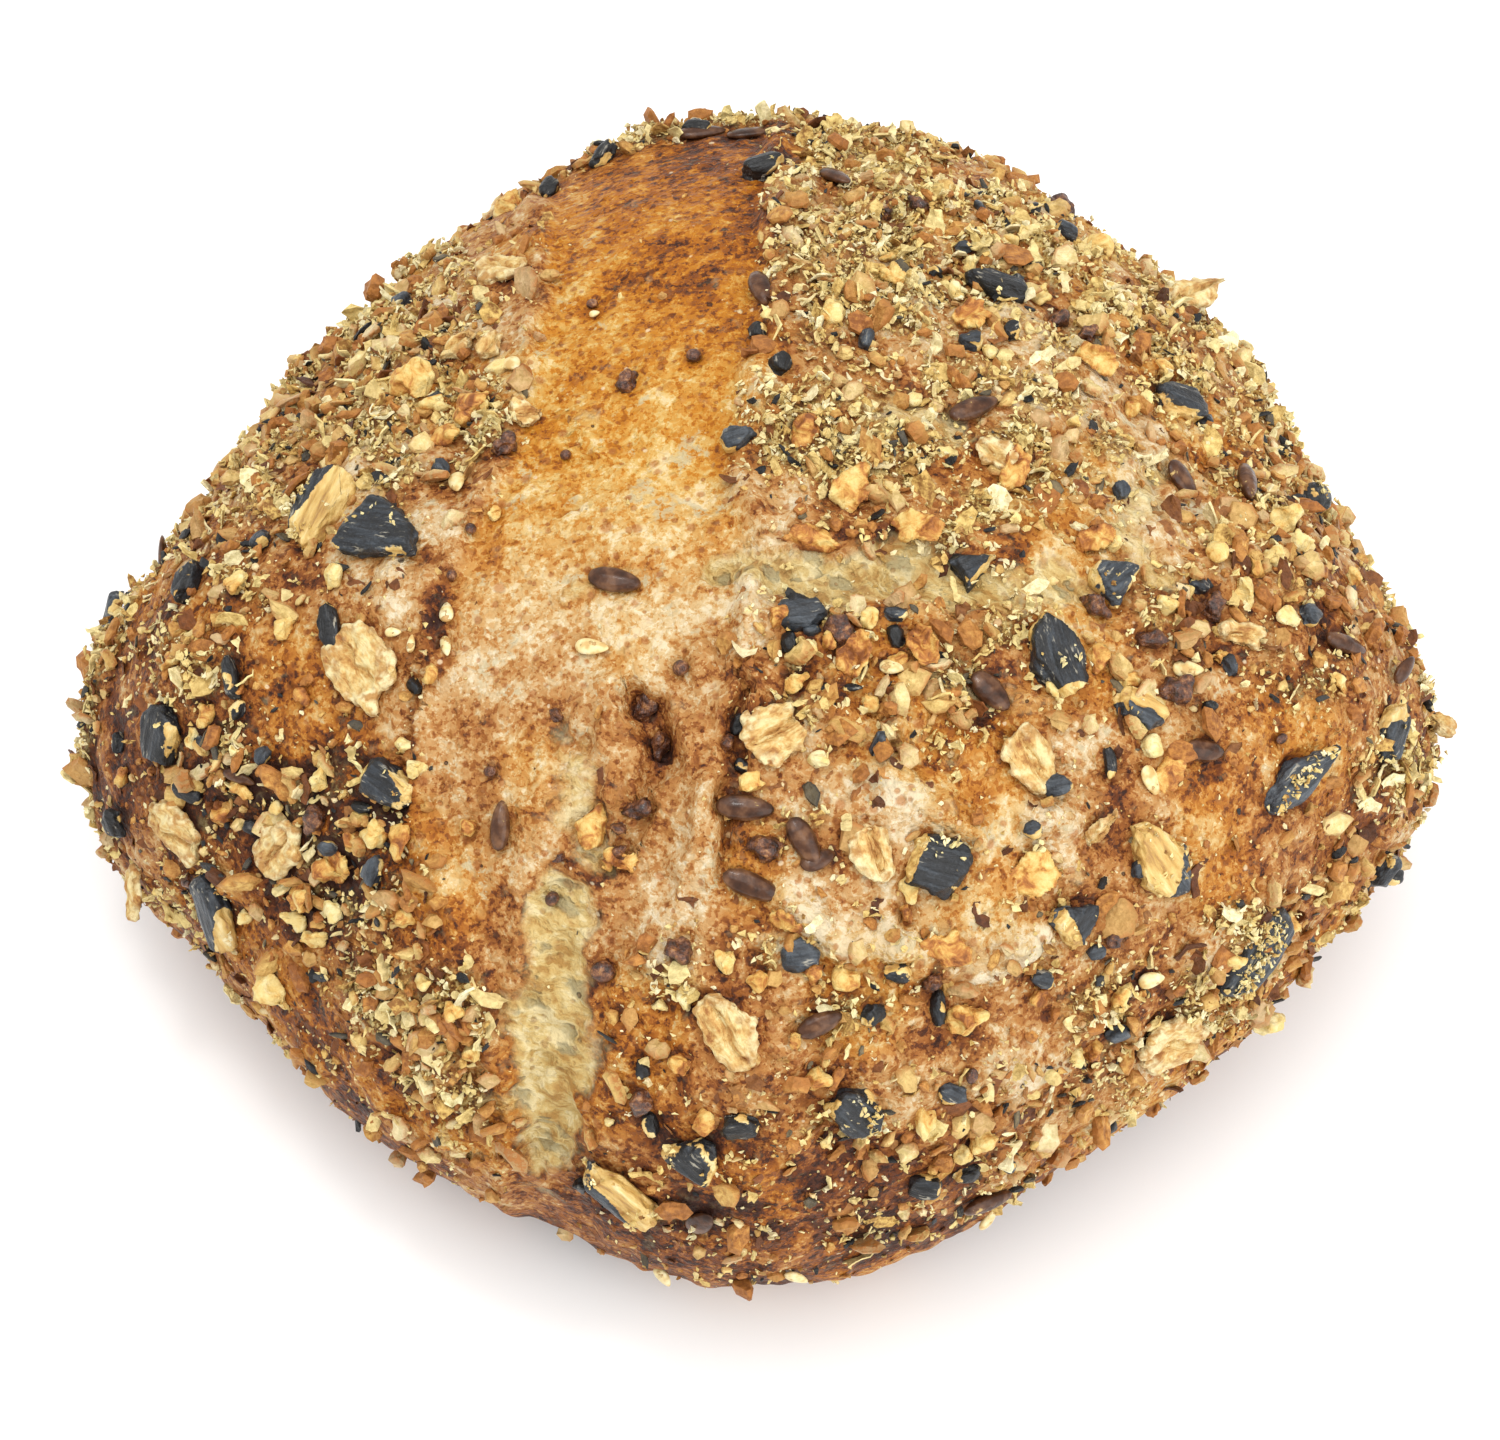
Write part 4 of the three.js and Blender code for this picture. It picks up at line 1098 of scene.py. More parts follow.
def chipShape(name, draw, width, thick, sides=9):   # a chopped chip with a jagged outline, one unit long
    turns = np.linspace(0, 2 * math.pi, sides, endpoint=False) + draw.uniform(-0.25, 0.25, sides)
    reach = 0.5 * draw.uniform(0.6, 1.05, sides)
    ring = np.stack([np.cos(turns) * reach, np.sin(turns) * reach * width], 1)
    inset = draw.uniform(0.62, 0.9, (sides, 1))
    top = np.column_stack([ring * inset, thick * draw.uniform(0.25, 0.6, sides)])
    waist = np.column_stack([ring, thick * draw.uniform(-0.25, 0.2, sides)])
    low = np.column_stack([ring * 0.8, np.full(sides, -0.5 * thick)])
    ends = [[0, 0, thick * draw.uniform(0.3, 0.6)], [0, 0, -0.5 * thick]]
    mesh = finishedShape(name, np.concatenate([top, waist, low, ends]), cappedFaces(sides, 3))
    setAttributes(mesh, {"rim": np.repeat([0.35, 1.0, 1.0, 0.0, 1.0], [sides, sides, sides, 1, 1])})
    return mesh


def flakeShape(name, draw, curl, width, thickness=0.07):   # a thin curled chip, one unit long
    columns, rows = 5, 3
    top = []
    for i in range(columns):
        for j in range(rows):
            a, b = i / (columns - 1) - 0.5, j / (rows - 1) - 0.5
            taper = 1 - 1.6 * a * a
            spread = width * taper * (1 + draw.uniform(-0.35, 0.35))
            rise = curl * (4 * a * a - 0.5) + draw.uniform(-0.05, 0.05)
            top.append((a + draw.uniform(-0.08, 0.08), b * spread, rise - 0.5 * curl * 4 * b * b))
    points = np.array(top)
    number = np.arange(columns * rows).reshape(columns, rows)
    faces = []
    for i in range(columns - 1):
        for j in range(rows - 1):
            quad = [number[i, j], number[i + 1, j], number[i + 1, j + 1], number[i, j + 1]]
            faces.append(quad)
            faces.append([q + number.size for q in reversed(quad)])
    rim = list(number[:, 0]) + list(number[-1, 1:]) + list(number[-2::-1, -1]) + list(number[0, -2:0:-1])
    for p, q in zip(rim, rim[1:] + rim[:1]):
        faces.append([q, p, p + number.size, q + number.size])
    return finishedShape(name, np.concatenate([points, points - [0, 0, thickness]]), faces)


def shapeSet(name, count, makeShape):
    collection = bpy.data.collections.new(name + "Shapes")
    for i in range(count):
        mesh = makeShape(f"{name}{i}")
        collection.objects.link(bpy.data.objects.new(mesh.name, mesh))
    return collection


scatterInputs = {
    "Surface": "Geometry", "Shapes": "Collection", "Finish": "Material", "Where": "String",
    "Per Square Millimetre": "Float", "Spacing": "Float", "Smallest": "Float", "Largest": "Float",
    "Lean": "Float", "Stand Out": "Float", "Ruffle": "Float", "Draw": "Int",
}


def scatterTree():
    tree = bpy.data.node_groups.new("scatterTopping", "GeometryNodeTree")
    for name, kind in scatterInputs.items():
        tree.interface.new_socket(name=name, in_out="INPUT", socket_type="NodeSocket" + kind)
    tree.interface.new_socket(name="Topping", in_out="OUTPUT", socket_type="NodeSocketGeometry")
    nodes = NodeBuilder(tree)
    given = nodes.add("NodeGroupInput").outputs
    where = nodes.add("GeometryNodeInputNamedAttribute", {"Name": given["Where"]}, data_type="FLOAT")
    spread = nodes.add("GeometryNodeDistributePointsOnFaces", {
        "Mesh": given["Surface"], "Distance Min": nodes.times(given["Spacing"], mm),
        "Density Max": nodes.times(given["Per Square Millimetre"], 1 / mm ** 2),
        "Density Factor": nodes.math("MINIMUM", where.outputs["Attribute"], 1.0), "Seed": given["Draw"]},
        distribute_method="POISSON", use_legacy_normal=False)

    def draw(low, high, offset, kind="FLOAT"):
        seed = nodes.plus(given["Draw"], offset)
        node = nodes.add("FunctionNodeRandomValue", {"Seed": seed}, data_type=kind)
        lowest, highest, result = {"FLOAT": (2, 3, 1), "INT": (4, 5, 2), "FLOAT_VECTOR": (0, 1, 0)}[kind]
        nodes.give(node, {lowest: low, highest: high})
        return node.outputs[result]

    chance = nodes.math("POWER", draw(0.0, 1.0, 1), 1.8)   # more small ones than large
    reach = nodes.minus(given["Largest"], given["Smallest"])
    scale = nodes.times(nodes.math("MULTIPLY_ADD", chance, reach, given["Smallest"]), mm)
    lean = nodes.times(given["Lean"], -1.0)
    spin = nodes.add("ShaderNodeCombineXYZ", {
        0: draw(lean, given["Lean"], 2), 1: draw(lean, given["Lean"], 3), 2: draw(0.0, 2 * math.pi, 4)})
    turned = nodes.add("FunctionNodeRotateRotation", {
        0: spread.outputs["Rotation"], 1: spin.outputs[0]}, rotation_space="LOCAL")
    proportions = draw((0.75, 0.75, 0.7), (1.25, 1.2, 1.2), 5, "FLOAT_VECTOR")
    shapes = nodes.add("GeometryNodeCollectionInfo", {
        "Collection": given["Shapes"], "Separate Children": True, "Reset Children": True})
    placed = nodes.add("GeometryNodeInstanceOnPoints", {
        "Points": spread.outputs["Points"], "Instance": shapes.outputs[0], "Pick Instance": True,
        "Instance Index": draw(0, 1000, 6, "INT"), "Rotation": turned.outputs[0],
        "Scale": nodes.scaled(proportions, scale)})
    rise = nodes.times(nodes.times(scale, given["Stand Out"]), draw(0.0, 1.5, 9))
    lifted = nodes.add("GeometryNodeTranslateInstances", {
        "Instances": placed.outputs[0], "Local Space": False,
        "Translation": nodes.scaled(spread.outputs["Normal"], rise)})
    current = lifted.outputs[0]
    for name, offset in (("tint", 7), ("shade", 8)):
        store = nodes.add("GeometryNodeStoreNamedAttribute", {
            "Geometry": current, "Name": name, "Value": draw(0.0, 1.0, offset)},
            data_type="FLOAT", domain="INSTANCE")
        current = store.outputs[0]
    real = nodes.add("GeometryNodeRealizeInstances", {"Geometry": current})
    place = nodes.add("GeometryNodeInputPosition").outputs[0]
    ripple = nodes.add("ShaderNodeTexNoise", {"Scale": 1500.0, "Detail": 1.0, "Vector": place})
    centred = nodes.vector("SUBTRACT", ripple.outputs["Color"], (0.5, 0.5, 0.5))
    ruffled = nodes.add("GeometryNodeSetPosition", {
        "Geometry": real.outputs[0], "Offset": nodes.scaled(centred, nodes.times(given["Ruffle"], mm))})
    finished = nodes.add("GeometryNodeSetMaterial", {
        "Geometry": ruffled.outputs[0], "Material": given["Finish"]})
    nodes.add("NodeGroupOutput", {0: finished.outputs[0]})
    return tree


toppingTree = scatterTree()


def scatter(name, host, *values):   # values in the order of scatterInputs, after the surface
    holder = newObject(name + "Host", host.data)
    modifier = holder.modifiers.new("scatter", "NODES")
    modifier.node_group = toppingTree
    given = dict(zip(list(scatterInputs)[1:], values))
    given["Lean"] = math.radians(given["Lean"])
    for item in toppingTree.interface.items_tree:
        if item.name in given:
            modifier[item.identifier] = given[item.name]
    piece = evaluatedPiece(name, holder)
    print(name, len(piece.data.polygons), "faces")
    return piece


# ---- effects that several finishes share
def effectGroup(name, inputs, outputs):   # inputs are names and kinds of socket, outputs are names of masks
    tree = bpy.data.node_groups.new(name, "ShaderNodeTree")
    for label, kind in inputs.items():
        tree.interface.new_socket(name=label, in_out="INPUT", socket_type="NodeSocket" + kind)
    for label in outputs:
        tree.interface.new_socket(name=label, in_out="OUTPUT", socket_type="NodeSocketFloat")
    nodes = NodeBuilder(tree)
    return tree, nodes, nodes.add("NodeGroupInput").outputs


def spotsGroup():   # scattered spots of many sizes, spacing in millimetres and radii as shares of it
    inputs = {"Place": "Vector"} | {name: "Float" for name in ("Spacing", "Smallest", "Largest", "Share")}
    tree, nodes, given = effectGroup("spots", inputs, ["Mask"])
    scale = nodes.math("DIVIDE", 1 / mm, given["Spacing"])
    cells = nodes.add("ShaderNodeTexVoronoi", {"Vector": given["Place"], "Scale": scale}).outputs
    chance = nodes.add("ShaderNodeSeparateColor", {0: cells["Color"]}).outputs
    reach = nodes.minus(given["Largest"], given["Smallest"])
    radius = nodes.plus(nodes.times(chance[1], reach), given["Smallest"])
    mask = nodes.span(nodes.math("DIVIDE", cells["Distance"], radius), 1.0, 0.5)
    chosen = nodes.math("LESS_THAN", chance[0], given["Share"])
    nodes.add("NodeGroupOutput", {"Mask": nodes.times(mask, chosen)})
    return tree


def crumbDustGroup():   # fine yellow meal clinging in patches, and how high it stands
    tree, nodes, given = effectGroup("crumbDust", {"Place": "Vector", "Amount": "Float"}, ["Mask", "Height"])
    patch = nodes.noise(given["Place"], 2.4, 2)
    crumbs = nodes.noise(given["Place"], 0.6, 3, 0.66)
    level = nodes.plus(nodes.plus(patch, crumbs), nodes.minus(given["Amount"], 1.0))
    mask = nodes.span(level, 0.14, 0.2)
    nodes.add("NodeGroupOutput", {"Mask": mask, "Height": nodes.times(mask, nodes.plus(crumbs, 0.4))})
    return tree


spotsEffect = spotsGroup()
crumbDustEffect = crumbDustGroup()


def spots(nodes, place, spacing, smallest, largest, share):
    inputs = {"Place": place, "Spacing": spacing, "Smallest": smallest, "Largest": largest, "Share": share}
    return nodes.add("ShaderNodeGroup", inputs, node_tree=spotsEffect).outputs[0]


def crumbDust(nodes, place, amount):
    dust = nodes.add("ShaderNodeGroup", {"Place": place, "Amount": amount}, node_tree=crumbDustEffect).outputs
    return dust["Mask"], dust["Height"]


def stretchedGrain(nodes, along):   # the piece's own three directions, drawn out along the long one
    return nodes.vector("MULTIPLY", nodes.attribute("grain", "Vector"), (along * mm, mm, mm))


# ---- materials, with ramps from dark to pale as rows of place and colour
crustColours = {
    "peachy": [(0.0, (0.66, 0.56, 0.39)), (0.2, (0.55, 0.405, 0.225)), (0.36, (0.465, 0.27, 0.108)),
               (0.5, (0.385, 0.172, 0.048)), (0.64, (0.26, 0.088, 0.020)), (0.78, (0.13, 0.036, 0.010)),
               (0.9, (0.07, 0.022, 0.010)), (1.0, (0.032, 0.012, 0.008))],
    "amber": [(0.0, (0.68, 0.52, 0.28)), (0.2, (0.58, 0.385, 0.125)), (0.36, (0.52, 0.262, 0.050)),
              (0.5, (0.46, 0.176, 0.015)), (0.64, (0.34, 0.105, 0.008)), (0.78, (0.17, 0.046, 0.008)),
              (0.9, (0.07, 0.021, 0.008)), (1.0, (0.032, 0.011, 0.007))],
    "freckle": [(0.2, (0.40, 0.165, 0.048)), (0.5, (0.25, 0.075, 0.018)), (0.8, (0.07, 0.024, 0.01))],
    # the meal's ramp runs down to near black: painted shade between the crumbs
    "meal": [(0.36, (0.09, 0.038, 0.012)), (0.48, (0.26, 0.14, 0.035)), (0.56, (0.50, 0.34, 0.10)),
             (0.66, (0.68, 0.54, 0.22))],
    "dough": [(0.32, (0.36, 0.20, 0.055)), (0.44, (0.49, 0.33, 0.115)), (0.56, (0.56, 0.42, 0.175)),
              (0.68, (0.66, 0.55, 0.30))],
    "glassy": (0.44, 0.39, 0.25, 1),
    "fleck": (0.76, 0.64, 0.43, 1),
    # pinholes: painted shade inside the small pits
    "pinhole": (0.06, 0.025, 0.018, 1),
    # the bubbles of the torn dough, grey partly from painted shade in their hollows
    "bubble": (0.27, 0.235, 0.13, 1),
    "doughFreckle": (0.30, 0.15, 0.05, 1),
    "doughPinhole": (0.12, 0.06, 0.025, 1),
}


def crustMaterial():
    material, nodes, shader, place = newMaterial("bakedCrust")
    plus, times, centred, span, noise = nodes.plus, nodes.times, nodes.centred, nodes.span, nodes.noise
    bake, porous = nodes.attribute("bake"), nodes.attribute("porous")
    golden, meal = nodes.attribute("golden"), nodes.attribute("meal")

    def shifted(size, reach):   # the place, moved about by noise
        way = noise(place, size, 3, 0.6, output="Color")
        return nodes.vector("ADD", place, nodes.scaled(way, reach * mm))

    def farFrom(spot):   # for a pattern of its own
        return nodes.vector("ADD", spot, (0.31, 0.17, 0.05))

    rippled, bent = shifted(0.8, 0.35), shifted(3.0, 2.6)
    blotch = noise(place, 2.4, 2, 0.5)
    mottle = noise(place, 0.95, 2, 0.6)
    speck = noise(place, 0.34, 2, 0.6)
    grainy = span(noise(rippled, 0.62, 3, 0.62), 0.53, 0.58)
    flecked = span(noise(farFrom(place), 0.7, 3, 0.62), 0.55, 0.6)
    creamy = span(noise(bent, 2.3, 2, 0.5), 0.52, 0.6)
    ruddy = span(noise(farFrom(bent), 1.9, 3, 0.6), 0.55, 0.63)
    vein = span(nodes.math("ABSOLUTE", nodes.minus(noise(farFrom(bent), 2.6, 1), 0.5)), 0.03, 0.0)
    tornEdge = times(span(porous, 0.04, 0.22), span(porous, 0.5, 0.3))   # browned along the torn dough
    level = bake
    for wave, share in ((noise(place, 6.5, 2), 0.36), (blotch, 0.34), (mottle, 0.3), (speck, 0.16)):
        level = plus(level, centred(wave, share))
    # next to a seed the crust is browned and darkened by a painted contact shadow
    level = nodes.total(level, (
        (grainy, 0.18), (flecked, -0.15), (creamy, -0.16), (ruddy, span(golden, 0.0, 1.0, 0.18, 0.08)),
        (vein, -0.1), (nodes.attribute("halo"), 0.12), (tornEdge, 0.18)))
    peachy, amber, freckled = (nodes.ramp(level, crustColours[k]) for k in ("peachy", "amber", "freckle"))
    colour = nodes.blend(golden, peachy, amber)
    # where the crust is thin and pale it turns grey and glassy
    glassy = times(span(noise(bent, 2.7, 3, 0.6), 0.58, 0.66), span(level, 0.46, 0.28))
    freckle = nodes.math("MAXIMUM", spots(nodes, rippled, 1.1, 0.18, 0.4, 0.55),
                         spots(nodes, rippled, 2.1, 0.12, 0.32, 0.75))
    # pinholes are small pits, painted near black as the shade inside them
    pinhole = spots(nodes, rippled, 3.6, 0.035, 0.11, 0.5)
    colour = nodes.painted(colour, (
        (glassy, 0.6, crustColours["glassy"]),
        (freckle, 0.75, freckled),
        (spots(nodes, rippled, 1.8, 0.06, 0.17, 0.4), 0.6, crustColours["fleck"]),
        (pinhole, 0.85, crustColours["pinhole"])))
    # fine meal rubbed into the crust; the dark end of its ramp is painted shade in the gaps between the
    # crumbs
    rubbedMealAndGapShade = nodes.ramp(plus(mottle, centred(speck, 0.9)), crustColours["meal"])
    cover = times(span(meal, 0.1, 0.8), span(blotch, 0.36, 0.52, 0.35, 0.85))
    colour = nodes.blend(cover, colour, rubbedMealAndGapShade)
    # torn dough, straw-coloured, with glassy bubbles greyed partly by painted shade in their hollows, and
    # drawn-out strands
    slanted = nodes.add("ShaderNodeVectorRotate", {"Vector": bent, "Angle": 0.5}, rotation_type="Z_AXIS")
    drawnOut = nodes.vector("MULTIPLY", slanted.outputs[0], (0.4, 1.0, 1.0))
    strand = noise(drawnOut, 0.75, 3, 0.6)
    bubble = spots(nodes, drawnOut, 1.5, 0.25, 0.6, 0.5)
    # in the torn dough the pinholes are darkened by painted shade inside them
    dough = nodes.painted(nodes.ramp(plus(strand, centred(blotch, 0.9)), crustColours["dough"]), (
        (bubble, 0.75, crustColours["bubble"]), (freckle, 0.5, crustColours["doughFreckle"]),
        (pinhole, 0.7, crustColours["doughPinhole"])))
    torn = span(plus(porous, centred(plus(mottle, blotch), 0.6)), 0.35, 1.0, 0.0, 0.95)
    nodes.give(shader, {
        "Base Color": nodes.blend(torn, colour, dough),
        "Roughness": span(plus(mottle, centred(speck, 0.6)), 0.3, 0.7, 0.7, 0.45),
        "Specular IOR Level": 0.14})
    height = nodes.total(times(blotch, 0.5), (
        (mottle, 0.6), (speck, 0.3), (freckle, -0.12), (pinhole, -0.6), (cover, times(speck, 0.8)),
        (torn, plus(times(strand, 0.6), times(bubble, -0.4)))))
    relief(nodes, shader, height, 0.62)
    return material


def hullMaterial():
    material, nodes, shader, place = newMaterial("roastedHull")
    stretched = stretchedGrain(nodes, 0.2)
    streak = nodes.noise(stretched, 0.55, 4, 0.65)
    fine = nodes.noise(place, 0.3, 2, 0.6)
    shade = nodes.math("MULTIPLY_ADD", nodes.attribute("tone"), 0.3, nodes.minus(streak, 0.15))
    hull = nodes.ramp(nodes.plus(shade, nodes.centred(fine, 0.25)), [
        (0.3, (0.006, 0.006, 0.006)), (0.46, (0.012, 0.013, 0.015)), (0.6, (0.028, 0.034, 0.042)),
        (0.8, (0.070, 0.083, 0.098))])
    # pale streaks along the grain: partly scuffs, partly a painted glint
    scuffAndGlint = nodes.times(nodes.span(nodes.noise(stretched, 0.35, 3, 0.7), 0.56, 0.64),
                        nodes.span(nodes.noise(place, 2.0, 2), 0.5, 0.62))
    dust, dustHeight = crumbDust(nodes, place, -0.19)
    hull = nodes.painted(hull, ((scuffAndGlint, 0.6, (0.50, 0.46, 0.36, 1)), (dust, 0.7, (0.50, 0.39, 0.21, 1))))
    kernel = nodes.ramp(nodes.noise(stretched, 0.9, 3, 0.6), [
        (0.3, (0.28, 0.125, 0.03)), (0.44, (0.54, 0.33, 0.09)), (0.56, (0.68, 0.48, 0.17)),
        (0.7, (0.76, 0.62, 0.32))])
    core = nodes.plus(nodes.attribute("core"), nodes.centred(fine, 0.9))
    nodes.give(shader, {
        "Base Color": nodes.blend(nodes.span(core, 0.4, 0.6), hull, kernel),
        "Roughness": nodes.span(streak, 0.3, 0.7, 0.48, 0.32), "Specular IOR Level": 0.4})
    relief(nodes, shader, nodes.plus(nodes.total(streak, [(fine, 0.4)]), dustHeight), 0.22)
    return material


def flaxMaterial():
    material, nodes, shader, place = newMaterial("flaxSkin")
    colour = nodes.ramp(nodes.noise(place, 1.2, 3), [
        (0.3, (0.026, 0.010, 0.005)), (0.5, (0.070, 0.027, 0.012)), (0.7, (0.17, 0.080, 0.038))])
    dust, dustHeight = crumbDust(nodes, place, -0.14)
    nodes.give(shader, {
        "Base Color": nodes.blend(dust, colour, (0.50, 0.34, 0.13, 1)),
        "Roughness": nodes.span(dust, 0.0, 1.0, 0.3, 0.8), "Specular IOR Level": 0.2,
        "Coat Weight": 0.22, "Coat Roughness": 0.08})
    relief(nodes, shader, nodes.plus(nodes.noise(place, 0.35, 2), dustHeight), 0.06)
    return material


def glazeMaterial():
    material, nodes, shader, place = newMaterial("toffeeGlaze")
    colour = nodes.ramp(nodes.noise(place, 0.7, 4, 0.68), [
        (0.36, (0.022, 0.008, 0.005)), (0.48, (0.075, 0.022, 0.009)), (0.58, (0.18, 0.062, 0.019)),
        (0.7, (0.42, 0.20, 0.07))])
    nodes.give(shader, {"Base Color": colour, "Roughness": 0.4, "Coat Weight": 0.3, "Coat Roughness": 0.12})
    relief(nodes, shader, nodes.noise(place, 0.45, 3, 0.65), 0.45)
    return material


def oatMaterial():
    material, nodes, shader, place = newMaterial("rolledOat")
    fibre = nodes.noise(stretchedGrain(nodes, 0.35), 0.7, 4, 0.68, distortion=0.9)
    blotch = nodes.noise(place, 1.5, 3, 0.6)
    body = nodes.ramp(nodes.math("MULTIPLY_ADD", nodes.minus(fibre, 0.5), 0.95, blotch), [
        (0.26, (0.30, 0.12, 0.032)), (0.4, (0.50, 0.27, 0.08)), (0.52, (0.63, 0.43, 0.16)),
        (0.66, (0.73, 0.60, 0.30))])
    bran = nodes.ramp(nodes.noise(place, 0.8, 3), [(0.4, (0.46, 0.25, 0.08)), (0.6, (0.76, 0.65, 0.36))])
    edge = nodes.times(nodes.attribute("core"), nodes.span(nodes.noise(place, 1.2, 2), 0.38, 0.48))
    freckle = spots(nodes, place, 1.6, 0.1, 0.3, 0.4)
    colour = nodes.painted(nodes.blend(edge, body, bran), [(freckle, 0.5, (0.34, 0.16, 0.05, 1))])
    nodes.give(shader, {"Base Color": colour, "Roughness": 0.7, "Specular IOR Level": 0.3})
    relief(nodes, shader, nodes.total(fibre, [(nodes.noise(place, 0.4, 2), 0.6)]), 0.35)
    return material


def grainMaterial():
    material, nodes, shader, place = newMaterial("choppedGrain")
    blotch = nodes.noise(place, 1.3, 4, 0.65, distortion=0.6)
    tone = nodes.times(nodes.attribute("tone"), 0.3)
    tone = nodes.math("MULTIPLY_ADD", nodes.minus(blotch, 0.5), 1.1, tone)
    level = nodes.total(tone, [(nodes.attribute("core"), 0.12)])
    colour = nodes.ramp(nodes.plus(level, 0.32), [
        (0.22, (0.20, 0.064, 0.016)), (0.34, (0.42, 0.16, 0.034)), (0.44, (0.60, 0.33, 0.08)),
        (0.56, (0.70, 0.50, 0.17)), (0.7, (0.74, 0.59, 0.25)), (0.9, (0.80, 0.71, 0.40))])
    nodes.give(shader, {"Base Color": colour, "Roughness": 0.55, "Specular IOR Level": 0.3})
    relief(nodes, shader, nodes.noise(place, 0.45, 3, 0.6), 0.25)
    return material


def sesameMaterial():
    material, nodes, shader, place = newMaterial("sesameSkin")
    colour = nodes.ramp(nodes.noise(place, 0.9, 2), [
        (0.35, (0.56, 0.36, 0.12)), (0.5, (0.72, 0.58, 0.27)), (0.65, (0.78, 0.69, 0.42))])
    dust, dustHeight = crumbDust(nodes, place, -0.02)
    nodes.give(shader, {"Base Color": nodes.blend(dust, colour, (0.48, 0.28, 0.09, 1)), "Roughness": 0.45})
    relief(nodes, shader, nodes.plus(nodes.noise(place, 0.35, 2), dustHeight), 0.06)
    return material


# for each kind of crumb: its ramp, the colour of its toasted rim, how rough it is, how much of that colour
# the darkest crumbs take, and how much the colour changes within one crumb
crumbKinds = {
    "mealCrumb": (
        [(0.0, (0.30, 0.14, 0.04)), (0.12, (0.60, 0.40, 0.12)), (0.34, (0.75, 0.59, 0.235)),
         (0.75, (0.82, 0.71, 0.36)), (1.0, (0.87, 0.80, 0.52))],
        (0.47, 0.26, 0.07), 0.8, 0.26, 0.7),
    "kernelChip": (
        [(0.0, (0.28, 0.095, 0.024)), (0.22, (0.52, 0.24, 0.055)), (0.42, (0.67, 0.44, 0.13)),
         (0.7, (0.76, 0.60, 0.24)), (1.0, (0.83, 0.74, 0.44))],
        (0.37, 0.145, 0.035), 0.6, 0.6, 0.8),
    "huskChip": (
        [(0.0, (0.008, 0.007, 0.006)), (0.4, (0.020, 0.021, 0.023)), (0.65, (0.055, 0.058, 0.060)),
         (0.8, (0.12, 0.10, 0.065)), (1.0, (0.24, 0.18, 0.09))],
        (0.02, 0.02, 0.02), 0.5, 0.5, 0.3),
    "branFlake": (
        [(0.0, (0.075, 0.024, 0.010)), (0.5, (0.24, 0.080, 0.022)), (1.0, (0.50, 0.24, 0.065))],
        (0.1, 0.04, 0.015), 0.55, 0.45, 0.5),
}


def crumbMaterial(name, stops, rim, roughness, darkest, change):
    material, nodes, shader, place = newMaterial(name)
    mottle = nodes.noise(place, 0.6, 3, 0.65)
    level = nodes.math("MULTIPLY_ADD", nodes.minus(mottle, 0.5), change, nodes.attribute("tint"))
    edge = nodes.times(nodes.attribute("rim"), nodes.span(mottle, 0.4, 0.55, 0.35, 0.95))
    colour = nodes.blend(edge, nodes.ramp(level, stops), (*rim, 1))
    colour = nodes.blend(nodes.span(nodes.attribute("shade"), 0.0, 1.0, darkest, 0.0), colour, (*rim, 1))
    shaded = nodes.scaled(colour, nodes.span(mottle, 0.3, 0.65, 0.74, 1.04))
    nodes.give(shader, {"Base Color": shaded, "Roughness": roughness, "Specular IOR Level": 0.25})
    relief(nodes, shader, mottle, 0.25)
    return material


crustFinish = crustMaterial()
seedFinish = {"pumpkin_seed": hullMaterial(), "flax_seed": flaxMaterial(), "oat_flake": oatMaterial(),
              "grain_chunk": grainMaterial()}
crumbFinish = {name: crumbMaterial(name, *values) for name, values in crumbKinds.items()}
glaze = glazeMaterial()
# for each group of loose pieces: its finish, and the slot it belongs to
looseFinish = {
    "looseHulls": (seedFinish["pumpkin_seed"], "pumpkin_seed"),
    "looseFlax": (seedFinish["flax_seed"], "flax_seed"),
    "looseOats": (seedFinish["oat_flake"], "oat_flake"),
    "looseGrains": (seedFinish["grain_chunk"], "grain"),
    "sesameSeeds": (sesameMaterial(), "grain"),
    "glazedLumps": (glaze, "crust"),
    "roundSeeds": (glaze, "flax_seed"),
}
print("materials ready")


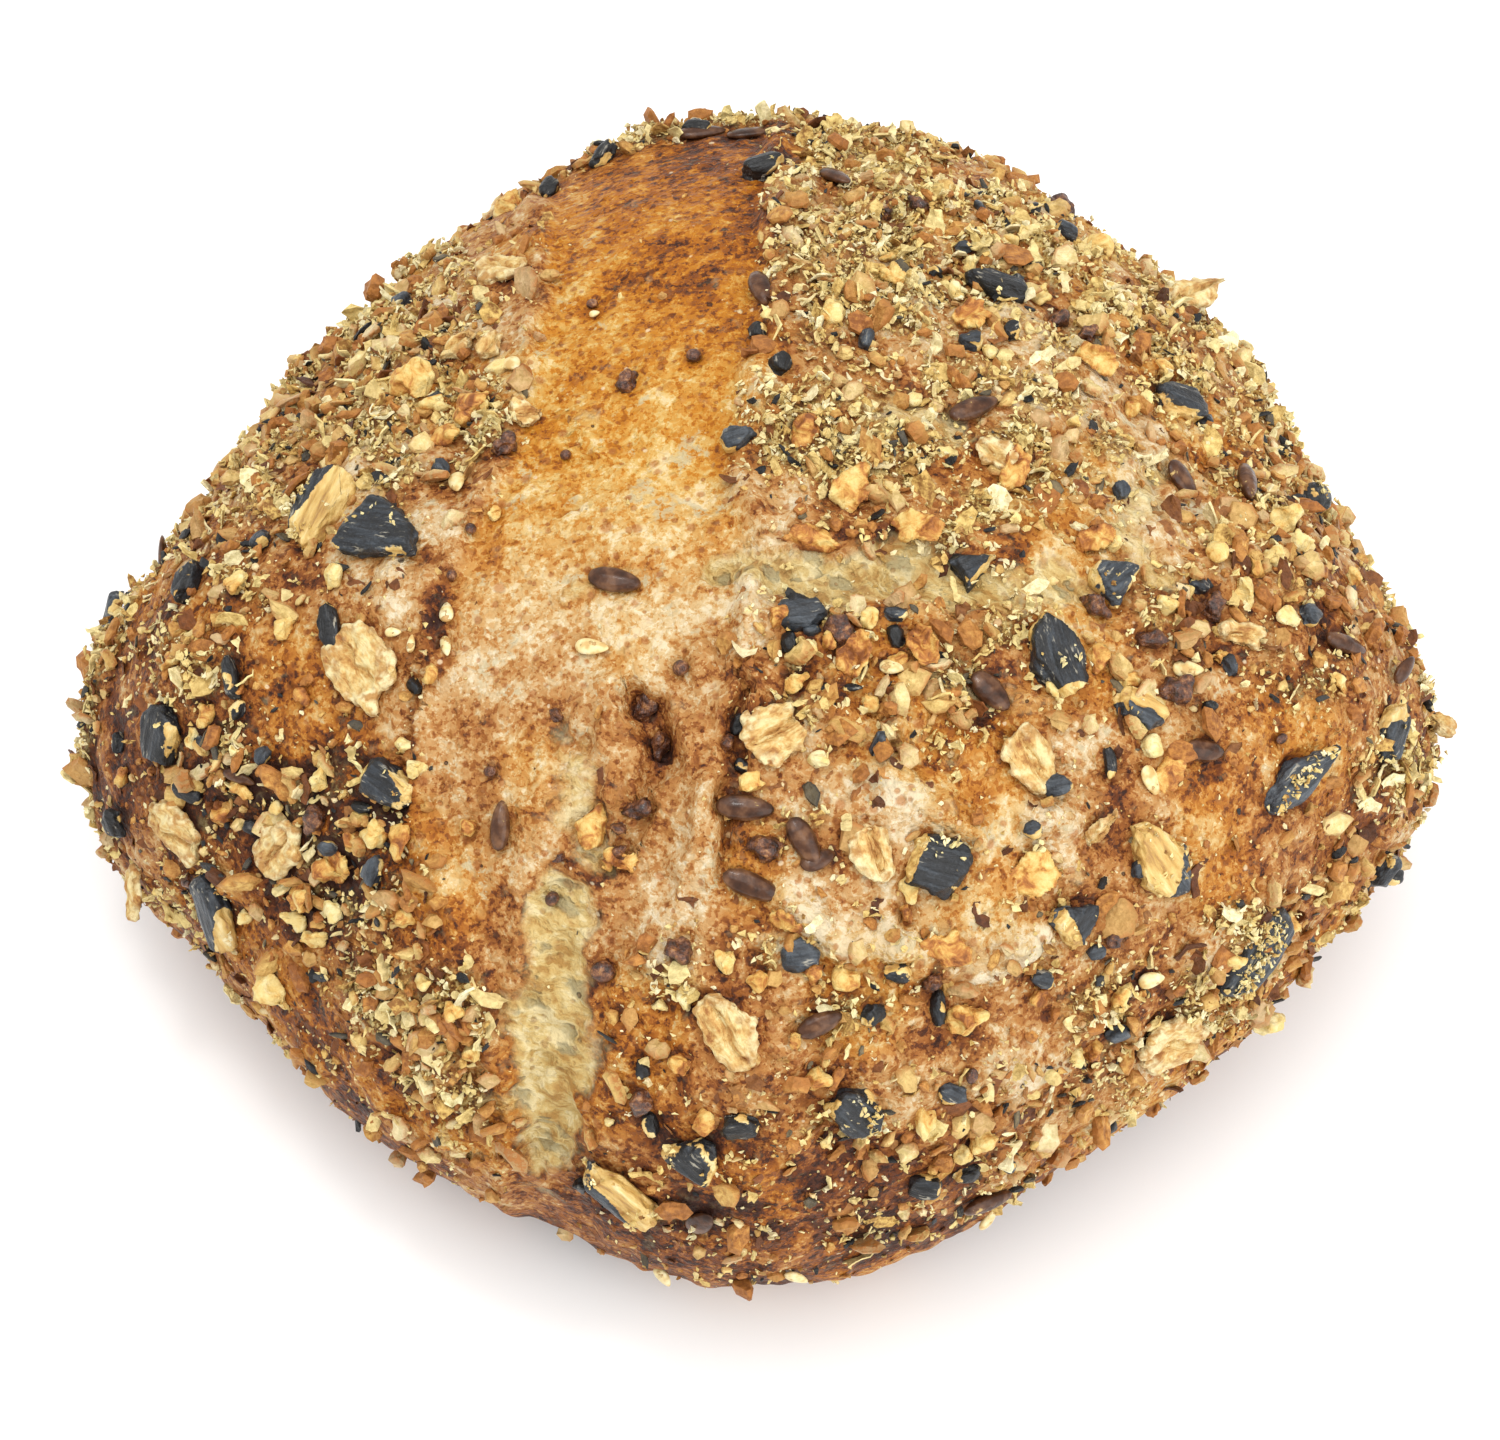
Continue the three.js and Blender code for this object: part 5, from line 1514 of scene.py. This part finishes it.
# for each topping: shapes, finish and slot, then the attribute that says where, how many to a square
# millimetre, nearest spacing, smallest, largest, lean in degrees, share standing out and ruffle
toppingRows = {
    "mealCrumbs": ("crumb", "mealCrumb", "grain", "meal", 3.2, 0.4, 0.8, 2.5, 60, 0.2, 0.35),
    "mealGrit": ("grit", "mealCrumb", "grain", "meal", 3.2, 0.25, 0.3, 0.9, 60, 0.3, 0.2),
    "mealFlakes": ("bran", "mealCrumb", "grain", "meal", 0.7, 0.6, 0.9, 2.8, 60, 0.15, 0.4),
    "skinCrumbs": ("grit", "mealCrumb", "grain", "skin", 0.3, 0.4, 0.25, 0.9, 60, 0.1, 0.2),
    "kernelChips": ("chip", "kernelChip", "grain", "chop", 0.72, 0.6, 0.9, 3.8, 50, 0.15, 0.4),
    "kernelBits": ("chip", "kernelChip", "grain", "skin", 0.04, 1.1, 0.6, 2.0, 35, 0.05, 0.4),
    "mealChips": ("chip", "kernelChip", "grain", "meal", 0.14, 0.9, 0.8, 2.6, 48, 0.15, 0.4),
    "huskChips": ("husk", "huskChip", "pumpkin_seed", "chop", 0.2, 0.8, 0.6, 2.8, 45, 0.15, 0.35),
    "huskMeal": ("husk", "huskChip", "pumpkin_seed", "meal", 0.16, 0.7, 0.4, 1.8, 55, 0.2, 0.25),
    "huskBits": ("husk", "huskChip", "pumpkin_seed", "skin", 0.012, 1.0, 0.5, 1.5, 30, 0.05, 0.3),
    "branFlakes": ("bran", "branFlake", "oat_flake", "skin", 0.05, 0.9, 0.5, 2.2, 25, 0.05, 0.4),
    "branChop": ("bran", "branFlake", "oat_flake", "chop", 0.3, 0.9, 0.6, 2.8, 45, 0.1, 0.45),
    "seedCrumbs": ("crumb", "mealCrumb", "grain", "dusted", 5.0, 0.35, 0.7, 1.9, 60, 0.3, 0.3),
    "seedGrit": ("grit", "mealCrumb", "grain", "dusted", 3.5, 0.35, 0.35, 0.9, 60, 0.3, 0.3),
}


def toppingShapes():
    draw = np.random.default_rng(21)
    pick = draw.uniform
    return {
        "crumb": shapeSet("crumb", 8, lambda name: clumpShape(name, draw, 3)),
        "grit": shapeSet("grit", 6, lambda name: clumpShape(name, draw, 1)),
        "chip": shapeSet("chip", 12, lambda name: chipShape(name, draw, pick(0.35, 0.9), pick(0.2, 0.42))),
        "husk": shapeSet("husk", 8, lambda name: chipShape(name, draw, pick(0.35, 0.8), 0.16)),
        "bran": shapeSet("bran", 8, lambda name: flakeShape(name, draw, pick(0.08, 0.25), pick(0.4, 0.8))),
    }


def dustedHost():   # copies of the hulls as one mesh, for the meal that clings to them
    hulls = [(node, piece) for node, kind, piece in seedPieces if kind == "pumpkin_seed"]
    return joined("dustedSeeds", [newObject(node, piece.data.copy()) for node, piece in hulls])


def makeTopping():
    shapes = toppingShapes()
    dusted = dustedHost()
    made = []
    for number, (name, (shape, finish, slot, where, *sizes)) in enumerate(toppingRows.items()):
        host, draw = (dusted, 40 + number) if where == "dusted" else (crust, number + 1)
        made.append((scatter(name, host, shapes[shape], crumbFinish[finish], where, *sizes, draw), slot))
    bpy.data.objects.remove(dusted)
    return made


def handOver(piece, slot, node=None, finish=None):   # gives a piece its finish, puts it under the root body and hides the CAD node it stands for
    if finish is not None:
        piece.data.materials.append(finish)
    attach(piece, "root")
    if node is not None:
        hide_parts(node)


topping = makeTopping()
handOver(crust, "crust", "roll", crustFinish)
for node, kind, piece in seedPieces:
    handOver(piece, seeds["kinds"][kind][0], node, seedFinish[kind])
for group, piece in loosePieces.items():
    finish, slot = looseFinish[group]
    handOver(piece, slot, finish=finish)
for piece, slot in topping:
    handOver(piece, slot)
